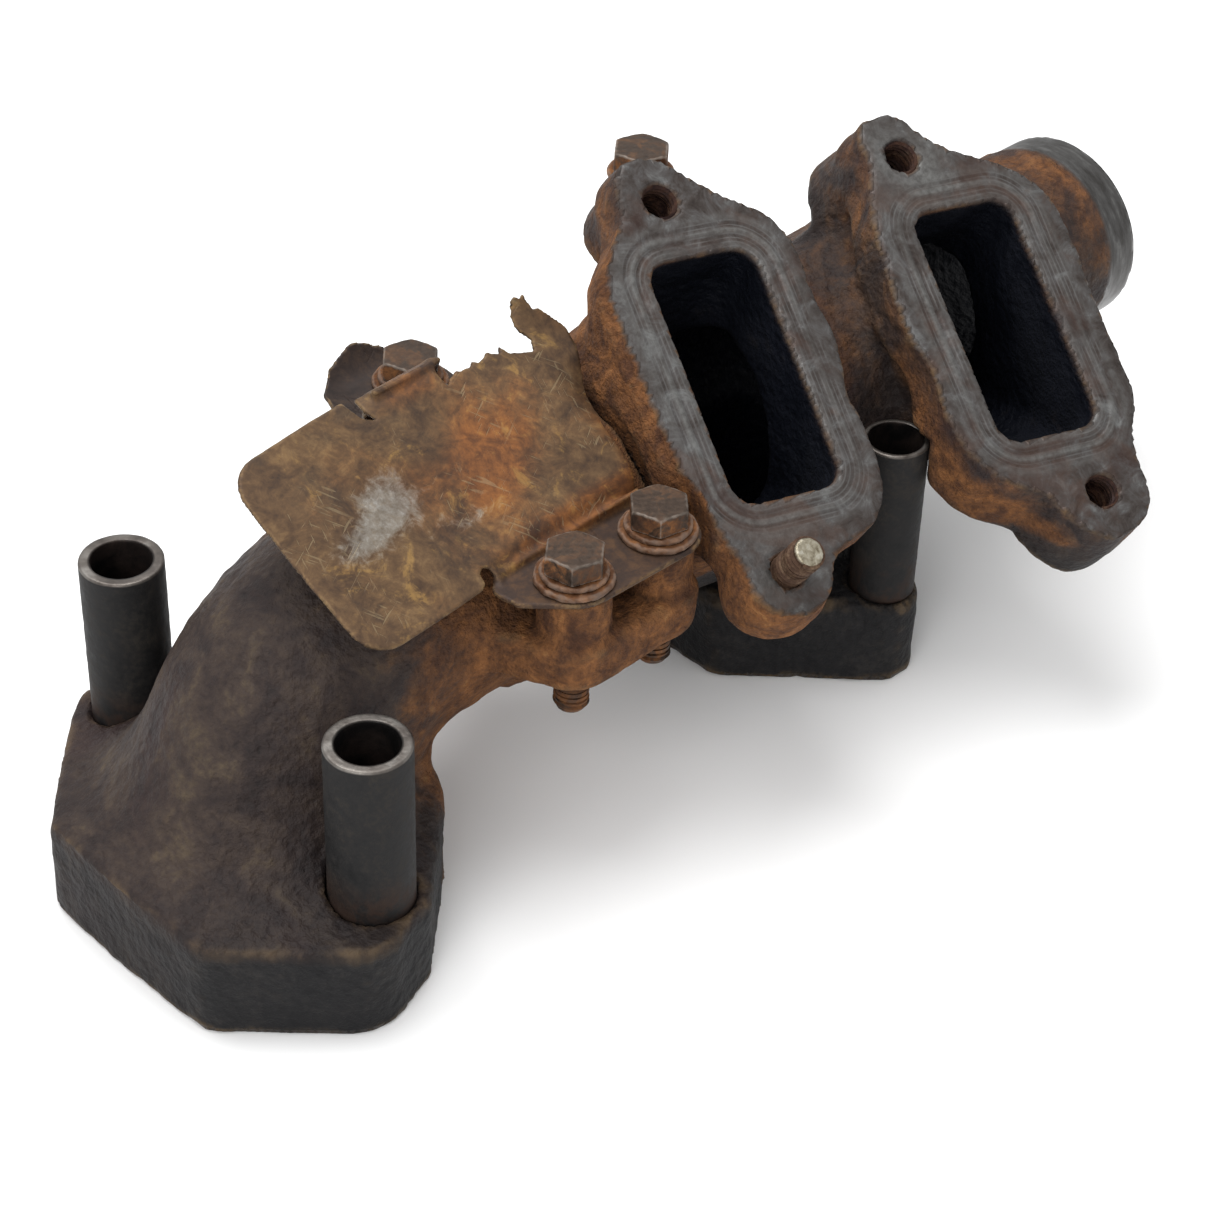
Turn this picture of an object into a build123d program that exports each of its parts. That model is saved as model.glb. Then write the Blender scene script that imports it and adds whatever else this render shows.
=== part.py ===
from build123d import *
import math
import os

os.makedirs("parts", exist_ok=True)

# ---- Exhaust manifold section, two head ports, two turbine outlets ----
# Frame: origin at the middle of the front foot's bolt pattern on the cylinder head face,
# +X along the log from the front foot to the rear one, +Z away from the head.

# Head feet
PORT_PITCH = 170.0          # front foot to rear foot
HEAD_BOLT_PITCH = 87.0      # between the two bolts of a foot
FOOT_T = 25.0               # foot thickness
HEAD_HOLE_R = 6.75          # clearance hole for an M12 stud
SEAT_DEPTH = 1.5            # spotface under a sleeve
SEAT_GAP = 0.4              # spotface radius over sleeve radius
FOOT_CORNER_R = 9.0         # rounding of a foot's four side corners
FRONT_CORNERS = ((-33.0, -32.5), (-33.0, 15.0), (27.5, -24.0), (27.5, 22.0))
FRONT_EAR_R = 16.0          # rounding round its bolts
FRONT_EAR_SHIFT = -2.5      # ears off their bolts, along X
REAR_CORNERS = ((-28.5, -17.5), (-28.5, 17.5), (27.5, -17.0), (27.5, 17.0))
REAR_EAR_R = 11.0
REAR_EAR_SHIFT = -0.5
FOOT_EDGE_R = 3.0           # cast edge rounding
PORT_W = 40.0               # head port opening
PORT_CORNER_R = 12.0

# Spacer sleeves
SLEEVE_L = 44.0
FRONT_SLEEVE_R = 10.0
FRONT_SLEEVE_BORE_R = 7.1
REAR_SLEEVE_R = 8.4
REAR_SLEEVE_BORE_R = 6.7
SLEEVE_CHAMFER = 0.4

# Log, elbow and slip joint
LOG_Z = 61.0                # log axis above the head face
JOINT_Z = 59.5              # slip joint axis
END_Z = 62.8                # rear spigot axis
PIPE_R = 30.5               # elbow outside
PIPE_BORE_R = 23.0
ELBOW_BEND_R = 42.0
SLIP_TRAVEL = 1.5           # thermal travel each way
SHOULDER_X = 106.0          # left end of the centre casting's body
END_CLEARANCE = 1.0         # left at either end of the joint at full travel
COLLAR_END = SHOULDER_X - 2 * SLIP_TRAVEL - END_CLEARANCE
COLLAR_L = 36.0
COLLAR_START = COLLAR_END - COLLAR_L
SPIGOT_R = 25.8             # male spigots
SPIGOT_WALL = 6.3
RUN_GAP = 0.05              # radial clearance of the running fits
COLLAR_WALL = 5.65
COLLAR_R = SPIGOT_R + RUN_GAP + COLLAR_WALL
SPIGOT_L = 30.0             # male spigot in front of the shoulder
SPIGOT_TIP = SHOULDER_X - SPIGOT_L
COLLAR_BOTTOM = SPIGOT_TIP - SLIP_TRAVEL - 1.5 * END_CLEARANCE
LOG_R = 32.5
LOG_L = 130.0
LOG_END = SHOULDER_X + LOG_L
LOG_BORE_R = 25.0
SPIGOT_BORE_R = SPIGOT_R - SPIGOT_WALL
END_BORE_R = SPIGOT_BORE_R + 1.0
END_PIPE_R = SPIGOT_R + 0.6  # rough length behind the rear spigot
RISER_R = 29.0              # from the rear foot up to the log
END_BAND_L = 11.0           # machined band of the rear spigot
END_X = LOG_END + 52.0

# Seal rings in the slip joint
RING_W = 2.5
RING_T = 2.4
RING_SIDE_GAP = 0.1
RING_BACK_GAP = 0.3
RING_PITCH = 7.0
RING_XS = (SPIGOT_TIP + RING_PITCH, SPIGOT_TIP + 2 * RING_PITCH)
RING_SPLIT = 0.6

# Shield bolts and their lugs
BOLT_R = 4.0                # M8
BOLT_HOLE_R = BOLT_R + 0.3
STRAP_HOLE_R = BOLT_R + 0.6
BOLT_L = 40.0
HEAD_AF = 13.0
HEAD_H = 5.3
HEAD_CHAMFER = 0.6
WASHER_R = 9.4
WASHER_T = 1.6
LEDGE_BOTTOM = 54.0
LEDGE_T = 12.0
COLUMN_TOP = LEDGE_BOTTOM + 2 * LEDGE_T
COLUMN_R = 8.5
LUG_R = COLUMN_R + 1.5
NEAR_BOLTS = ((63.0, -41.0), (89.5, -41.0))
FAR_BOLT = (87.0, 42.0)
REAR_BOLT = (154.5, 32.5)
REAR_BOSS_TOP = 115.7
REAR_BOSS_R = 7.6
REAR_BOSS_LOW = 80.0
REAR_BOLT_L = 24.0
REAR_HOLE_DEPTH = REAR_BOLT_L + 4.0

# Heat shield
SHEET_T = 1.2
SHIELD_AT = (70.0, -28.5, COLUMN_TOP + 3.8)
SHIELD_SLOPE = 31.0         # top plate, up and away from the near strap
SHIELD_RISE = (1.0, 0.05, 0.05)
WALL_AT = (60.0, 13.6, COLUMN_TOP + 29.6)   # top of the far wall
WALL_FACING = (0.0, 29.2, 18.3)

# Outlet flanges
OUTLET_AT = (131.0, -27.5, 97.4)
OUTLET_PITCH = 75.4         # along the faces
OUTLET_TILT = 34.4          # faces lean towards -Y
OUTLET_YAW = -4.9
OUTLET_SPIN = 15.2          # openings turned in the face
OPENING_W = 29.5
OPENING_H = 63.0
OPENING_R = 6.0
FLANGE_T = 12.5
EAR_T = 17.0                # lower ears
HOLE_R = 4.25               # M10 tapped, at its core
HOLE_DEPTH = 20.0
STUD_HOLE_R = 4.3
STUD_ROOT_R = STUD_HOLE_R - 0.05
STUD_R = 4.0
STUD_OUT = 12.0
STUD_IN = 16.0
FLANGE_CORNER_R = 10.0
LOBE_R = 13.0               # lower corner of a flange away from its lower bolt
# body size and middle, lobe, upper and lower bolt, ear radius, depth and draft of the upper boss
FRONT_FLANGE = dict(
    size=(52.0, 60.0), at=(0.0, -6.0), lobe=(12.5, 31.5), up=(-4.3, -47.0), down=(-8.7, 49.0),
    ear=11.0, boss=16.0, draft=3.0,
)
REAR_FLANGE = dict(
    size=(54.0, 60.0), at=(0.3, -4.0), lobe=(-10.0, 26.0), up=(-10.2, -47.3), down=(6.9, 48.4),
    ear=11.8, boss=22.0, draft=8.0,
)
# necks under the flanges: size and middle at the flange, size and middle at the log, depth
FRONT_NECK = dict(top=(44.0, 76.0), top_at=(1.0, 2.0), low=(50.0, 62.0), low_at=(3.0, 0.0), depth=46.0)
REAR_NECK = dict(top=(45.0, 76.0), top_at=(1.0, -4.0), low=(48.0, 60.0), low_at=(6.0, -18.0), depth=52.0)

HALF_BOLTS = HEAD_BOLT_PITCH / 2
SLEEVE_Z = FOOT_T - SEAT_DEPTH
HEAD_UNDER_Z = COLUMN_TOP + SHEET_T + 2 * WASHER_T


def face_plane(distance):
    """Plane of the outlet faces, its x along the row of openings and its y up the slope."""
    tilt = math.radians(OUTLET_TILT)
    yaw = math.radians(OUTLET_YAW)
    spin = math.radians(OUTLET_SPIN)
    down = Vector(0, -math.cos(tilt), -math.sin(tilt))
    out = Vector(0, -math.sin(tilt), math.cos(tilt))
    along = Vector(math.cos(yaw), 0, 0) - out * math.sin(yaw)
    row = along * math.cos(spin) + down * math.sin(spin)
    normal = out * math.cos(yaw) + Vector(math.sin(yaw), 0, 0)
    return Plane(origin=Vector(*OUTLET_AT) + row * distance, x_dir=row, z_dir=normal)


FRONT_FACE = face_plane(0.0)
REAR_FACE = face_plane(OUTLET_PITCH)


def on_face(x, y):
    """A place on an outlet face, y measured down the slope."""
    return (x, -y)


def foot_outline(x, corners, ear_shift, ear_r):
    """Six-sided foot outline round its corner circles and its two bolt ears."""
    with Locations(*[(x + dx, dy) for dx, dy in corners]):
        Circle(FOOT_CORNER_R)
    with Locations((x + ear_shift, HALF_BOLTS), (x + ear_shift, -HALF_BOLTS)):
        Circle(ear_r)
    make_hull(mode=Mode.REPLACE)


def flange_outline(spec):
    """Body, lobe and two ears of an outlet flange, belted together."""
    with Locations(on_face(*spec["at"])):
        RectangleRounded(*spec["size"], FLANGE_CORNER_R)
    with Locations(on_face(*spec["lobe"])):
        Circle(LOBE_R)
    with Locations(on_face(*spec["up"]), on_face(*spec["down"])):
        Circle(spec["ear"])
    make_hull(mode=Mode.REPLACE)


def cut_cylinder(at, direction, radius, length):
    """Drill from a point along a direction."""
    with BuildSketch(Plane(origin=at, z_dir=direction)) as hole:
        Circle(radius)
    extrude(hole.sketch, amount=length, mode=Mode.SUBTRACT)


# ---- Front elbow casting: foot, elbow, female collar, shield lugs ----
with BuildPart() as front_elbow_casting:
    with BuildSketch(Plane.XY):
        foot_outline(0, FRONT_CORNERS, FRONT_EAR_SHIFT, FRONT_EAR_R)
    extrude(amount=FOOT_T)
    fillet(front_elbow_casting.edges().group_by(Axis.Z)[-1], FOOT_EDGE_R)
    fillet(front_elbow_casting.edges().group_by(Axis.Z)[0], FOOT_EDGE_R / 3)

    with BuildLine(Plane.XZ) as elbow_path:
        rise = Line((0, 6), (0, JOINT_Z - ELBOW_BEND_R))
        bend = RadiusArc(rise @ 1, (ELBOW_BEND_R, JOINT_Z), ELBOW_BEND_R)
        Line(bend @ 1, (COLLAR_START + 2, JOINT_Z))
    with BuildSketch(Plane.XY.offset(6)):
        Circle(PIPE_R)
    sweep(path=elbow_path.line)
    with BuildSketch(Plane.YZ.offset(COLLAR_START)):
        with Locations((0, JOINT_Z)):
            Circle(COLLAR_R)
    extrude(amount=COLLAR_END - COLLAR_START)

    # near lug: ledge and two columns
    with BuildSketch(Plane.XY.offset(LEDGE_BOTTOM)):
        with Locations(*NEAR_BOLTS):
            Circle(LUG_R)
        with Locations((72, -20)):
            RectangleRounded(56, 16, 5)
        make_hull(mode=Mode.REPLACE)
    extrude(amount=LEDGE_T)
    # far lug: one column
    with BuildSketch(Plane.XY.offset(LEDGE_BOTTOM)):
        with Locations(FAR_BOLT):
            Circle(LUG_R)
        with Locations((78, 20)):
            RectangleRounded(46, 16, 5)
        make_hull(mode=Mode.REPLACE)
    extrude(amount=LEDGE_T)
    with BuildSketch(Plane.XY.offset(LEDGE_BOTTOM + 1)):
        with Locations(*NEAR_BOLTS, FAR_BOLT):
            Circle(COLUMN_R)
    extrude(amount=COLUMN_TOP - LEDGE_BOTTOM - 1)

    # gas way: head port, bend, socket for the spigot
    with BuildLine(Plane.XZ) as bore_path:
        bore_rise = Line((0, 4), (0, JOINT_Z - ELBOW_BEND_R))
        bore_bend = RadiusArc(bore_rise @ 1, (ELBOW_BEND_R, JOINT_Z), ELBOW_BEND_R)
        Line(bore_bend @ 1, (COLLAR_BOTTOM + 1, JOINT_Z))
    with BuildSketch(Plane.XY.offset(4)):
        Circle(PIPE_BORE_R)
    sweep(path=bore_path.line, mode=Mode.SUBTRACT)
    with BuildSketch(Plane.XY.offset(-1)):
        RectangleRounded(PORT_W, PORT_W, PORT_CORNER_R)
    extrude(amount=14, mode=Mode.SUBTRACT)
    cut_cylinder((COLLAR_BOTTOM, 0, JOINT_Z), (1, 0, 0), SPIGOT_R + RUN_GAP, COLLAR_END)

    # bolt holes and sleeve seats
    for side in (-1, 1):
        cut_cylinder((0, side * HALF_BOLTS, -1), (0, 0, 1), HEAD_HOLE_R, FOOT_T + 2)
        cut_cylinder((0, side * HALF_BOLTS, SLEEVE_Z), (0, 0, 1), FRONT_SLEEVE_R + SEAT_GAP, SLEEVE_L)
    for bolt_x, bolt_y in (*NEAR_BOLTS, FAR_BOLT):
        cut_cylinder((bolt_x, bolt_y, LEDGE_BOTTOM - 5), (0, 0, 1), BOLT_HOLE_R, 40)

front_elbow_casting.part.label = "front elbow casting"
export_step(front_elbow_casting.part, "parts/front_elbow_casting.step")


# ---- Centre casting: male spigot, log, two outlets, rear foot, rear spigot ----
def neck(plane, spec):
    """Tapered neck from under a flange down to the log."""
    with BuildSketch(plane.offset(-FLANGE_T / 2)) as top:
        with Locations(on_face(*spec["top_at"])):
            RectangleRounded(*spec["top"], 12)
    with BuildSketch(plane.offset(-spec["depth"])) as low:
        with Locations(on_face(*spec["low_at"])):
            RectangleRounded(*spec["low"], 18)
    loft([top.sketch.face(), low.sketch.face()])


with BuildPart() as centre_casting:
    with BuildSketch(Plane.YZ.offset(SHOULDER_X)):
        with Locations((0, LOG_Z)):
            Circle(LOG_R)
    extrude(amount=LOG_END - SHOULDER_X)
    fillet(centre_casting.edges().filter_by(GeomType.CIRCLE), 6)
    with BuildSketch(Plane.YZ.offset(LOG_END - 10)):
        with Locations((0, END_Z)):
            Circle(END_PIPE_R)
    extrude(amount=END_X - END_BAND_L - LOG_END + 10)
    with BuildSketch(Plane.YZ.offset(END_X - END_BAND_L - 1)):
        with Locations((0, END_Z)):
            Circle(SPIGOT_R)
    extrude(amount=END_BAND_L + 1)

    # outlets
    neck(FRONT_FACE, FRONT_NECK)
    neck(REAR_FACE, REAR_NECK)
    for plane, spec in ((FRONT_FACE, FRONT_FLANGE), (REAR_FACE, REAR_FLANGE)):
        with BuildSketch(plane):
            flange_outline(spec)
        extrude(amount=-FLANGE_T)
        with BuildSketch(plane.offset(-FLANGE_T / 2)):
            with Locations(on_face(*spec["up"])):
                Circle(spec["ear"])
        extrude(amount=-spec["boss"], taper=-spec["draft"])
        with BuildSketch(plane.offset(-FLANGE_T / 2)):
            with Locations(on_face(*spec["down"])):
                Circle(spec["ear"] - 0.3)
        extrude(amount=-EAR_T + FLANGE_T / 2)

    # rear foot and its riser
    with BuildSketch(Plane.XY):
        foot_outline(PORT_PITCH, REAR_CORNERS, REAR_EAR_SHIFT, REAR_EAR_R)
    extrude(amount=FOOT_T)
    with BuildSketch(Plane.XY.offset(FOOT_T / 2)):
        with Locations((PORT_PITCH, 0)):
            Circle(RISER_R)
    extrude(amount=LOG_Z - FOOT_T / 2)

    # ear for the rear shield bolt
    with BuildSketch(Plane.XY.offset(REAR_BOSS_LOW)):
        with Locations(REAR_BOLT, (149, 8)):
            Circle(REAR_BOSS_R)
        make_hull(mode=Mode.REPLACE)
    extrude(amount=REAR_BOSS_TOP - REAR_BOSS_LOW - 8)
    with BuildSketch(Plane.XY.offset(REAR_BOSS_LOW)):
        with Locations(REAR_BOLT):
            Circle(REAR_BOSS_R)
    extrude(amount=REAR_BOSS_TOP - REAR_BOSS_LOW)

    # male spigot with two ring grooves
    with BuildSketch(Plane.YZ.offset(SPIGOT_TIP)):
        with Locations((0, JOINT_Z)):
            Circle(SPIGOT_R)
    extrude(amount=SHOULDER_X - SPIGOT_TIP + 8)
    for ring_x in RING_XS:
        with BuildSketch(Plane.YZ.offset(ring_x - RING_W / 2 - RING_SIDE_GAP)):
            with Locations((0, JOINT_Z)):
                Circle(SPIGOT_R + 1)
                Circle(SPIGOT_R - RING_T - RING_BACK_GAP, mode=Mode.SUBTRACT)
        extrude(amount=RING_W + 2 * RING_SIDE_GAP, mode=Mode.SUBTRACT)

    # gas ways
    cut_cylinder((SPIGOT_TIP - 1, 0, JOINT_Z), (1, 0, 0), SPIGOT_BORE_R, SHOULDER_X - SPIGOT_TIP + 14)
    cut_cylinder((SHOULDER_X + 9, 0, LOG_Z), (1, 0, 0), LOG_BORE_R, LOG_END - SHOULDER_X - 18)
    cut_cylinder((LOG_END - 18, 0, END_Z), (1, 0, 0), END_BORE_R, END_X - LOG_END + 20)
    for plane, bottom, shift in ((FRONT_FACE, -44, (0, 0)), (REAR_FACE, -50, (4, -16))):
        with BuildSketch(plane.offset(1)):
            RectangleRounded(OPENING_W, OPENING_H, OPENING_R)
        extrude(amount=-18, mode=Mode.SUBTRACT)
        with BuildSketch(plane.offset(-16)):
            RectangleRounded(OPENING_W, OPENING_H, OPENING_R)
        with BuildSketch(plane.offset(bottom)):
            with Locations(on_face(*shift)):
                RectangleRounded(OPENING_W, 46, 12)
        loft(mode=Mode.SUBTRACT)
    with BuildSketch(Plane.XY.offset(-1)):
        with Locations((PORT_PITCH, 0)):
            RectangleRounded(PORT_W, PORT_W, PORT_CORNER_R)
    extrude(amount=LOG_Z, mode=Mode.SUBTRACT)

    # holes
    for side in (-1, 1):
        cut_cylinder((PORT_PITCH, side * HALF_BOLTS, -1), (0, 0, 1), HEAD_HOLE_R, FOOT_T + 2)
        cut_cylinder(
            (PORT_PITCH, side * HALF_BOLTS, SLEEVE_Z), (0, 0, 1), REAR_SLEEVE_R + SEAT_GAP, SLEEVE_L + 2)
    for plane, spot, radius in (
        (FRONT_FACE, FRONT_FLANGE["up"], HOLE_R),
        (REAR_FACE, REAR_FLANGE["up"], HOLE_R),
        (REAR_FACE, REAR_FLANGE["down"], HOLE_R),
        (FRONT_FACE, FRONT_FLANGE["down"], STUD_HOLE_R),
    ):
        with BuildSketch(plane.offset(1)):
            with Locations(on_face(*spot)):
                Circle(radius)
        extrude(amount=-HOLE_DEPTH - 1, mode=Mode.SUBTRACT)
    cut_cylinder((*REAR_BOLT, REAR_BOSS_TOP - REAR_HOLE_DEPTH), (0, 0, 1), BOLT_HOLE_R, REAR_HOLE_DEPTH + 1)

centre_casting.part.label = "centre casting"
export_step(centre_casting.part, "parts/centre_casting.step")


# ---- Spacer sleeves between the head and its stud nuts ----
def sleeve(x, y, radius, bore):
    """Turned tube standing on a foot, chamfered at both ends."""
    with BuildPart() as tube:
        with BuildSketch(Plane.XY.offset(SLEEVE_Z)) as ring:
            with Locations((x, y)):
                Circle(radius)
                Circle(bore, mode=Mode.SUBTRACT)
        extrude(ring.sketch, amount=SLEEVE_L + SEAT_DEPTH)
        chamfer(tube.edges().filter_by(GeomType.CIRCLE), SLEEVE_CHAMFER)
    return tube.part


sleeves = {
    "front_near_sleeve": sleeve(0, -HALF_BOLTS, FRONT_SLEEVE_R, FRONT_SLEEVE_BORE_R),
    "front_far_sleeve": sleeve(0, HALF_BOLTS, FRONT_SLEEVE_R, FRONT_SLEEVE_BORE_R),
    "rear_near_sleeve": sleeve(PORT_PITCH, -HALF_BOLTS, REAR_SLEEVE_R, REAR_SLEEVE_BORE_R),
    "rear_far_sleeve": sleeve(PORT_PITCH, HALF_BOLTS, REAR_SLEEVE_R, REAR_SLEEVE_BORE_R),
}
for name, tube in sleeves.items():
    tube.label = name.replace("_", " ")
    export_step(tube, f"parts/{name}.step")


# ---- Seal rings in the slip joint ----
for number, ring_x in enumerate(RING_XS, start=1):
    with BuildPart() as seal_ring:
        with BuildSketch(Plane.YZ.offset(ring_x - RING_W / 2)):
            with Locations((0, JOINT_Z)):
                Circle(SPIGOT_R)
                Circle(SPIGOT_R - RING_T, mode=Mode.SUBTRACT)
            with Locations((0, JOINT_Z + (SPIGOT_R if number == 1 else -SPIGOT_R))):
                Rectangle(RING_SPLIT, 4 * RING_T, mode=Mode.SUBTRACT)
        extrude(amount=RING_W)
    seal_ring.part.label = f"seal ring {number}"
    export_step(seal_ring.part, f"parts/seal_ring_{number}.step")


# ---- Bolts and washers ----
def washer(x, y, bottom, radius, hole, thickness):
    """Flat ring with its upper edges broken."""
    with BuildPart() as disc:
        with BuildSketch(Plane.XY.offset(bottom)) as ring:
            with Locations((x, y)):
                Circle(radius)
                Circle(hole, mode=Mode.SUBTRACT)
        extrude(ring.sketch, amount=thickness)
        chamfer(disc.edges().group_by(Axis.Z)[-1], thickness / 4)
    return disc.part


def hex_bolt(x, y, under_head, length):
    """Hexagon bolt pointing down, its shank's end chamfered."""
    with BuildPart() as bolt:
        with BuildSketch(Plane.XY.offset(under_head)) as flats:
            with Locations((x, y)):
                RegularPolygon(HEAD_AF / 2, 6, major_radius=False, rotation=15)
        extrude(flats.sketch, amount=HEAD_H)
        with BuildSketch(Plane.XY.offset(under_head)) as crown:
            with Locations((x, y)):
                Circle(HEAD_AF / 2 * 1.14 + HEAD_H)
        extrude(crown.sketch, amount=HEAD_H, taper=45, mode=Mode.INTERSECT)
        with BuildSketch(Plane.XY.offset(under_head - length)) as shank:
            with Locations((x, y)):
                Circle(BOLT_R)
        extrude(shank.sketch, amount=length)
        chamfer(bolt.edges().group_by(Axis.Z)[0], HEAD_CHAMFER)
    return bolt.part


fasteners = {"near_front": NEAR_BOLTS[0], "near_rear": NEAR_BOLTS[1], "far": FAR_BOLT}
for name, (bolt_x, bolt_y) in fasteners.items():
    lower = washer(bolt_x, bolt_y, COLUMN_TOP + SHEET_T, WASHER_R, STRAP_HOLE_R, WASHER_T)
    upper = washer(bolt_x, bolt_y, COLUMN_TOP + SHEET_T + WASHER_T, WASHER_R * 0.86, STRAP_HOLE_R, WASHER_T)
    bolt = hex_bolt(bolt_x, bolt_y, HEAD_UNDER_Z, BOLT_L)
    for piece, kind in ((lower, "plain_washer"), (upper, "disc_washer"), (bolt, "bolt")):
        piece.label = f"{name}_{kind}".replace("_", " ")
        export_step(piece, f"parts/{name}_{kind}.step")

rear_washer = washer(*REAR_BOLT, REAR_BOSS_TOP, WASHER_R * 0.9, STRAP_HOLE_R, WASHER_T)
rear_washer.label = "outlet side washer"
export_step(rear_washer, "parts/outlet_side_washer.step")
rear_bolt = hex_bolt(*REAR_BOLT, REAR_BOSS_TOP + WASHER_T, REAR_BOLT_L)
rear_bolt.label = "outlet side bolt"
export_step(rear_bolt, "parts/outlet_side_bolt.step")

# ---- Stud left in the front outlet flange ----
with BuildPart() as outlet_stud:
    with BuildSketch(FRONT_FACE.offset(-STUD_IN)):
        with Locations(on_face(*FRONT_FLANGE["down"])):
            Circle(STUD_ROOT_R)
    extrude(amount=STUD_IN)
    with BuildSketch(FRONT_FACE):
        with Locations(on_face(*FRONT_FLANGE["down"])):
            Circle(STUD_R)
    extrude(amount=STUD_OUT)
    tips = outlet_stud.edges().filter_by(GeomType.CIRCLE).group_by(Axis.Z)
    chamfer(tips[0], HEAD_CHAMFER)
    chamfer(tips[-1], HEAD_CHAMFER)
outlet_stud.part.label = "outlet stud"
export_step(outlet_stud.part, "parts/outlet_stud.step")


# ---- Heat shield: top plate, near strap, far wall and far strap of one folded sheet ----
rise = Vector(*SHIELD_RISE).normalized()
slope = math.radians(SHIELD_SLOPE)
up_slope = Vector(0, math.cos(slope), math.sin(slope))
up_slope = (up_slope - rise * up_slope.dot(rise)).normalized()
TOP_PLATE = Plane(origin=Vector(*SHIELD_AT), x_dir=rise, z_dir=rise.cross(up_slope))
FAR_WALL = Plane(origin=WALL_AT, x_dir=(1, 0, 0), z_dir=WALL_FACING)
with BuildPart() as heat_shield:
    with BuildSketch(TOP_PLATE) as top_plate:
        with BuildLine():
            Polyline(
                (-59.5, -1.8), (-26, -1.6), (-24, 2.4), (-21, 2.2), (-20, -2.0), (25, -2.0),
                (28, 16), (37.5, 32.5), (37.2, 43), (33, 49), (29.5, 48), (27.5, 39.8), (16, 44.3),
                (1, 43.4), (0.5, 50), (-20, 51.2), (-21, 45), (-24, 51.6), (-59.5, 50), close=True,
            )
        make_face()
        fillet(top_plate.vertices().sort_by(Axis.X)[:2], 8.5)
    extrude(amount=SHEET_T)
    # near strap with its riser
    with BuildSketch(Plane.XY.offset(COLUMN_TOP)):
        with Locations(*NEAR_BOLTS):
            Circle(LUG_R)
        with Locations((72, -32.5)):
            Rectangle(46, 8)
        make_hull(mode=Mode.REPLACE)
        with Locations(*NEAR_BOLTS):
            Circle(STRAP_HOLE_R, mode=Mode.SUBTRACT)
    extrude(amount=SHEET_T)
    with BuildSketch(Plane.XZ.offset(28.6)):
        with BuildLine():
            Polyline(
                (50, COLUMN_TOP), (95, COLUMN_TOP), (95, COLUMN_TOP + 4.6), (50, COLUMN_TOP + 2.4), close=True)
        make_face()
    extrude(amount=SHEET_T)
    # far strap and wall
    with BuildSketch(Plane.XY.offset(COLUMN_TOP)):
        with Locations(FAR_BOLT):
            Circle(LUG_R + 1)
        with Locations((78, 47)):
            RectangleRounded(24, 19, 3)
        with Locations((79, 33)):
            Rectangle(36, 6)
        make_hull(mode=Mode.REPLACE)
        with Locations(FAR_BOLT):
            Circle(STRAP_HOLE_R, mode=Mode.SUBTRACT)
    extrude(amount=SHEET_T)
    with BuildSketch(FAR_WALL):
        with BuildLine():
            Polyline((-10, -0.4), (10.5, -0.4), (15, 12), (36, 34.6), (3, 34.6), (-6, 14), close=True)
        make_face()
    extrude(amount=-SHEET_T)

heat_shield.part.label = "heat shield"
export_step(heat_shield.part, "parts/heat_shield.step")
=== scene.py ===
import math

import bmesh
import bpy
import numpy as np
from mathutils import Matrix, Vector


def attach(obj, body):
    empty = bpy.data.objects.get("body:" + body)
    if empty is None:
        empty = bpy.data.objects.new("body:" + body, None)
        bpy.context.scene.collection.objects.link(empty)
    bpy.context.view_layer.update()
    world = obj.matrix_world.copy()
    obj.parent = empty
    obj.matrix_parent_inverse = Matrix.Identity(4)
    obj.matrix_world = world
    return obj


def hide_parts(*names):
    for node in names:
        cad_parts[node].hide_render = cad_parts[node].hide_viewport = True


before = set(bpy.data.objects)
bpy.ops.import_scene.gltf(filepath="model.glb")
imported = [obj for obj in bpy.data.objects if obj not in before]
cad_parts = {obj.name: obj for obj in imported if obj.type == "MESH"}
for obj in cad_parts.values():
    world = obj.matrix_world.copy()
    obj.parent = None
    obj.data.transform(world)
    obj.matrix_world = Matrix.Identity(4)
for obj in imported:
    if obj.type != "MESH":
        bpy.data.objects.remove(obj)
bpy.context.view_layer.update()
MM = 0.001
GRAIN = 1.3          # spacing of the castings' skin, millimetres
SMALL_GRAIN = 0.4    # the same for bolts and stud

# ---------------------------------------------------------------- sizes, millimetres
PORT_PITCH = 170.0
HALF_BOLTS = 43.5                       # from a port to the head bolt on either side
HEAD_HOLE_R = 6.75
FOOT_T, FOOT_EDGE = 25.0, 3.0
SEAT_Z, SLEEVE_TOP = 23.5, 69.0
JOINT_Z, LOG_Z, END_Z = 59.5, 61.0, 62.8    # heights of the slip joint, the log and the rear spigot
ELBOW_BEND, ELBOW_R, ELBOW_GAS_R = 42.0, 29.4, 23
ELBOW_LEAN = 1.4                        # how far the pipe sits outside its centre line
COLLAR_R, COLLAR_ENDS = 31.5, (64, 102)
SPIGOT_R, SOCKET_R = 25.8, 25.85
RING_GROOVES = (83, 90)
LOG_R, LOG_ENDS, LOG_GAS_R = 32.5, (106, 236), 25
RISER_R = 29
LEDGE_Z = (54, 66)
LUG_R, LUG_LOW = 8.5, 56
TAPPED_R, THREAD_CORE_R = 4.3, 3.55
SIDE_BOSS_R = 7.6
NEAR_BOLTS = ((63.0, -41.0), (89.5, -41.0))
FAR_BOLT = (87.0, 42.0)
SIDE_BOLT = (154.5, 32.5)
SIDE_BOSS_TOP = 115.7
STRAP_Z = 78.0
SHEET_T = 1.2
WASHER_T = 1.6
FRONT_UP, FRONT_DOWN = (-4.3, -47.0), (-8.7, 49.0)
REAR_UP, REAR_DOWN = (-10.2, -47.3), (6.9, 48.4)
OPENING_U, OPENING_V, OPENING_CORNER = 14.75, 31.5, 6      # half sizes of an outlet opening
FLANGE_T = 12.5
BOSS_R, EAR_R = 11.3, 11.2
ROOM_AHEAD, ROOM_ROUND = 1.9, 1.3       # slide room beyond the front half, along and sideways


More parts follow.
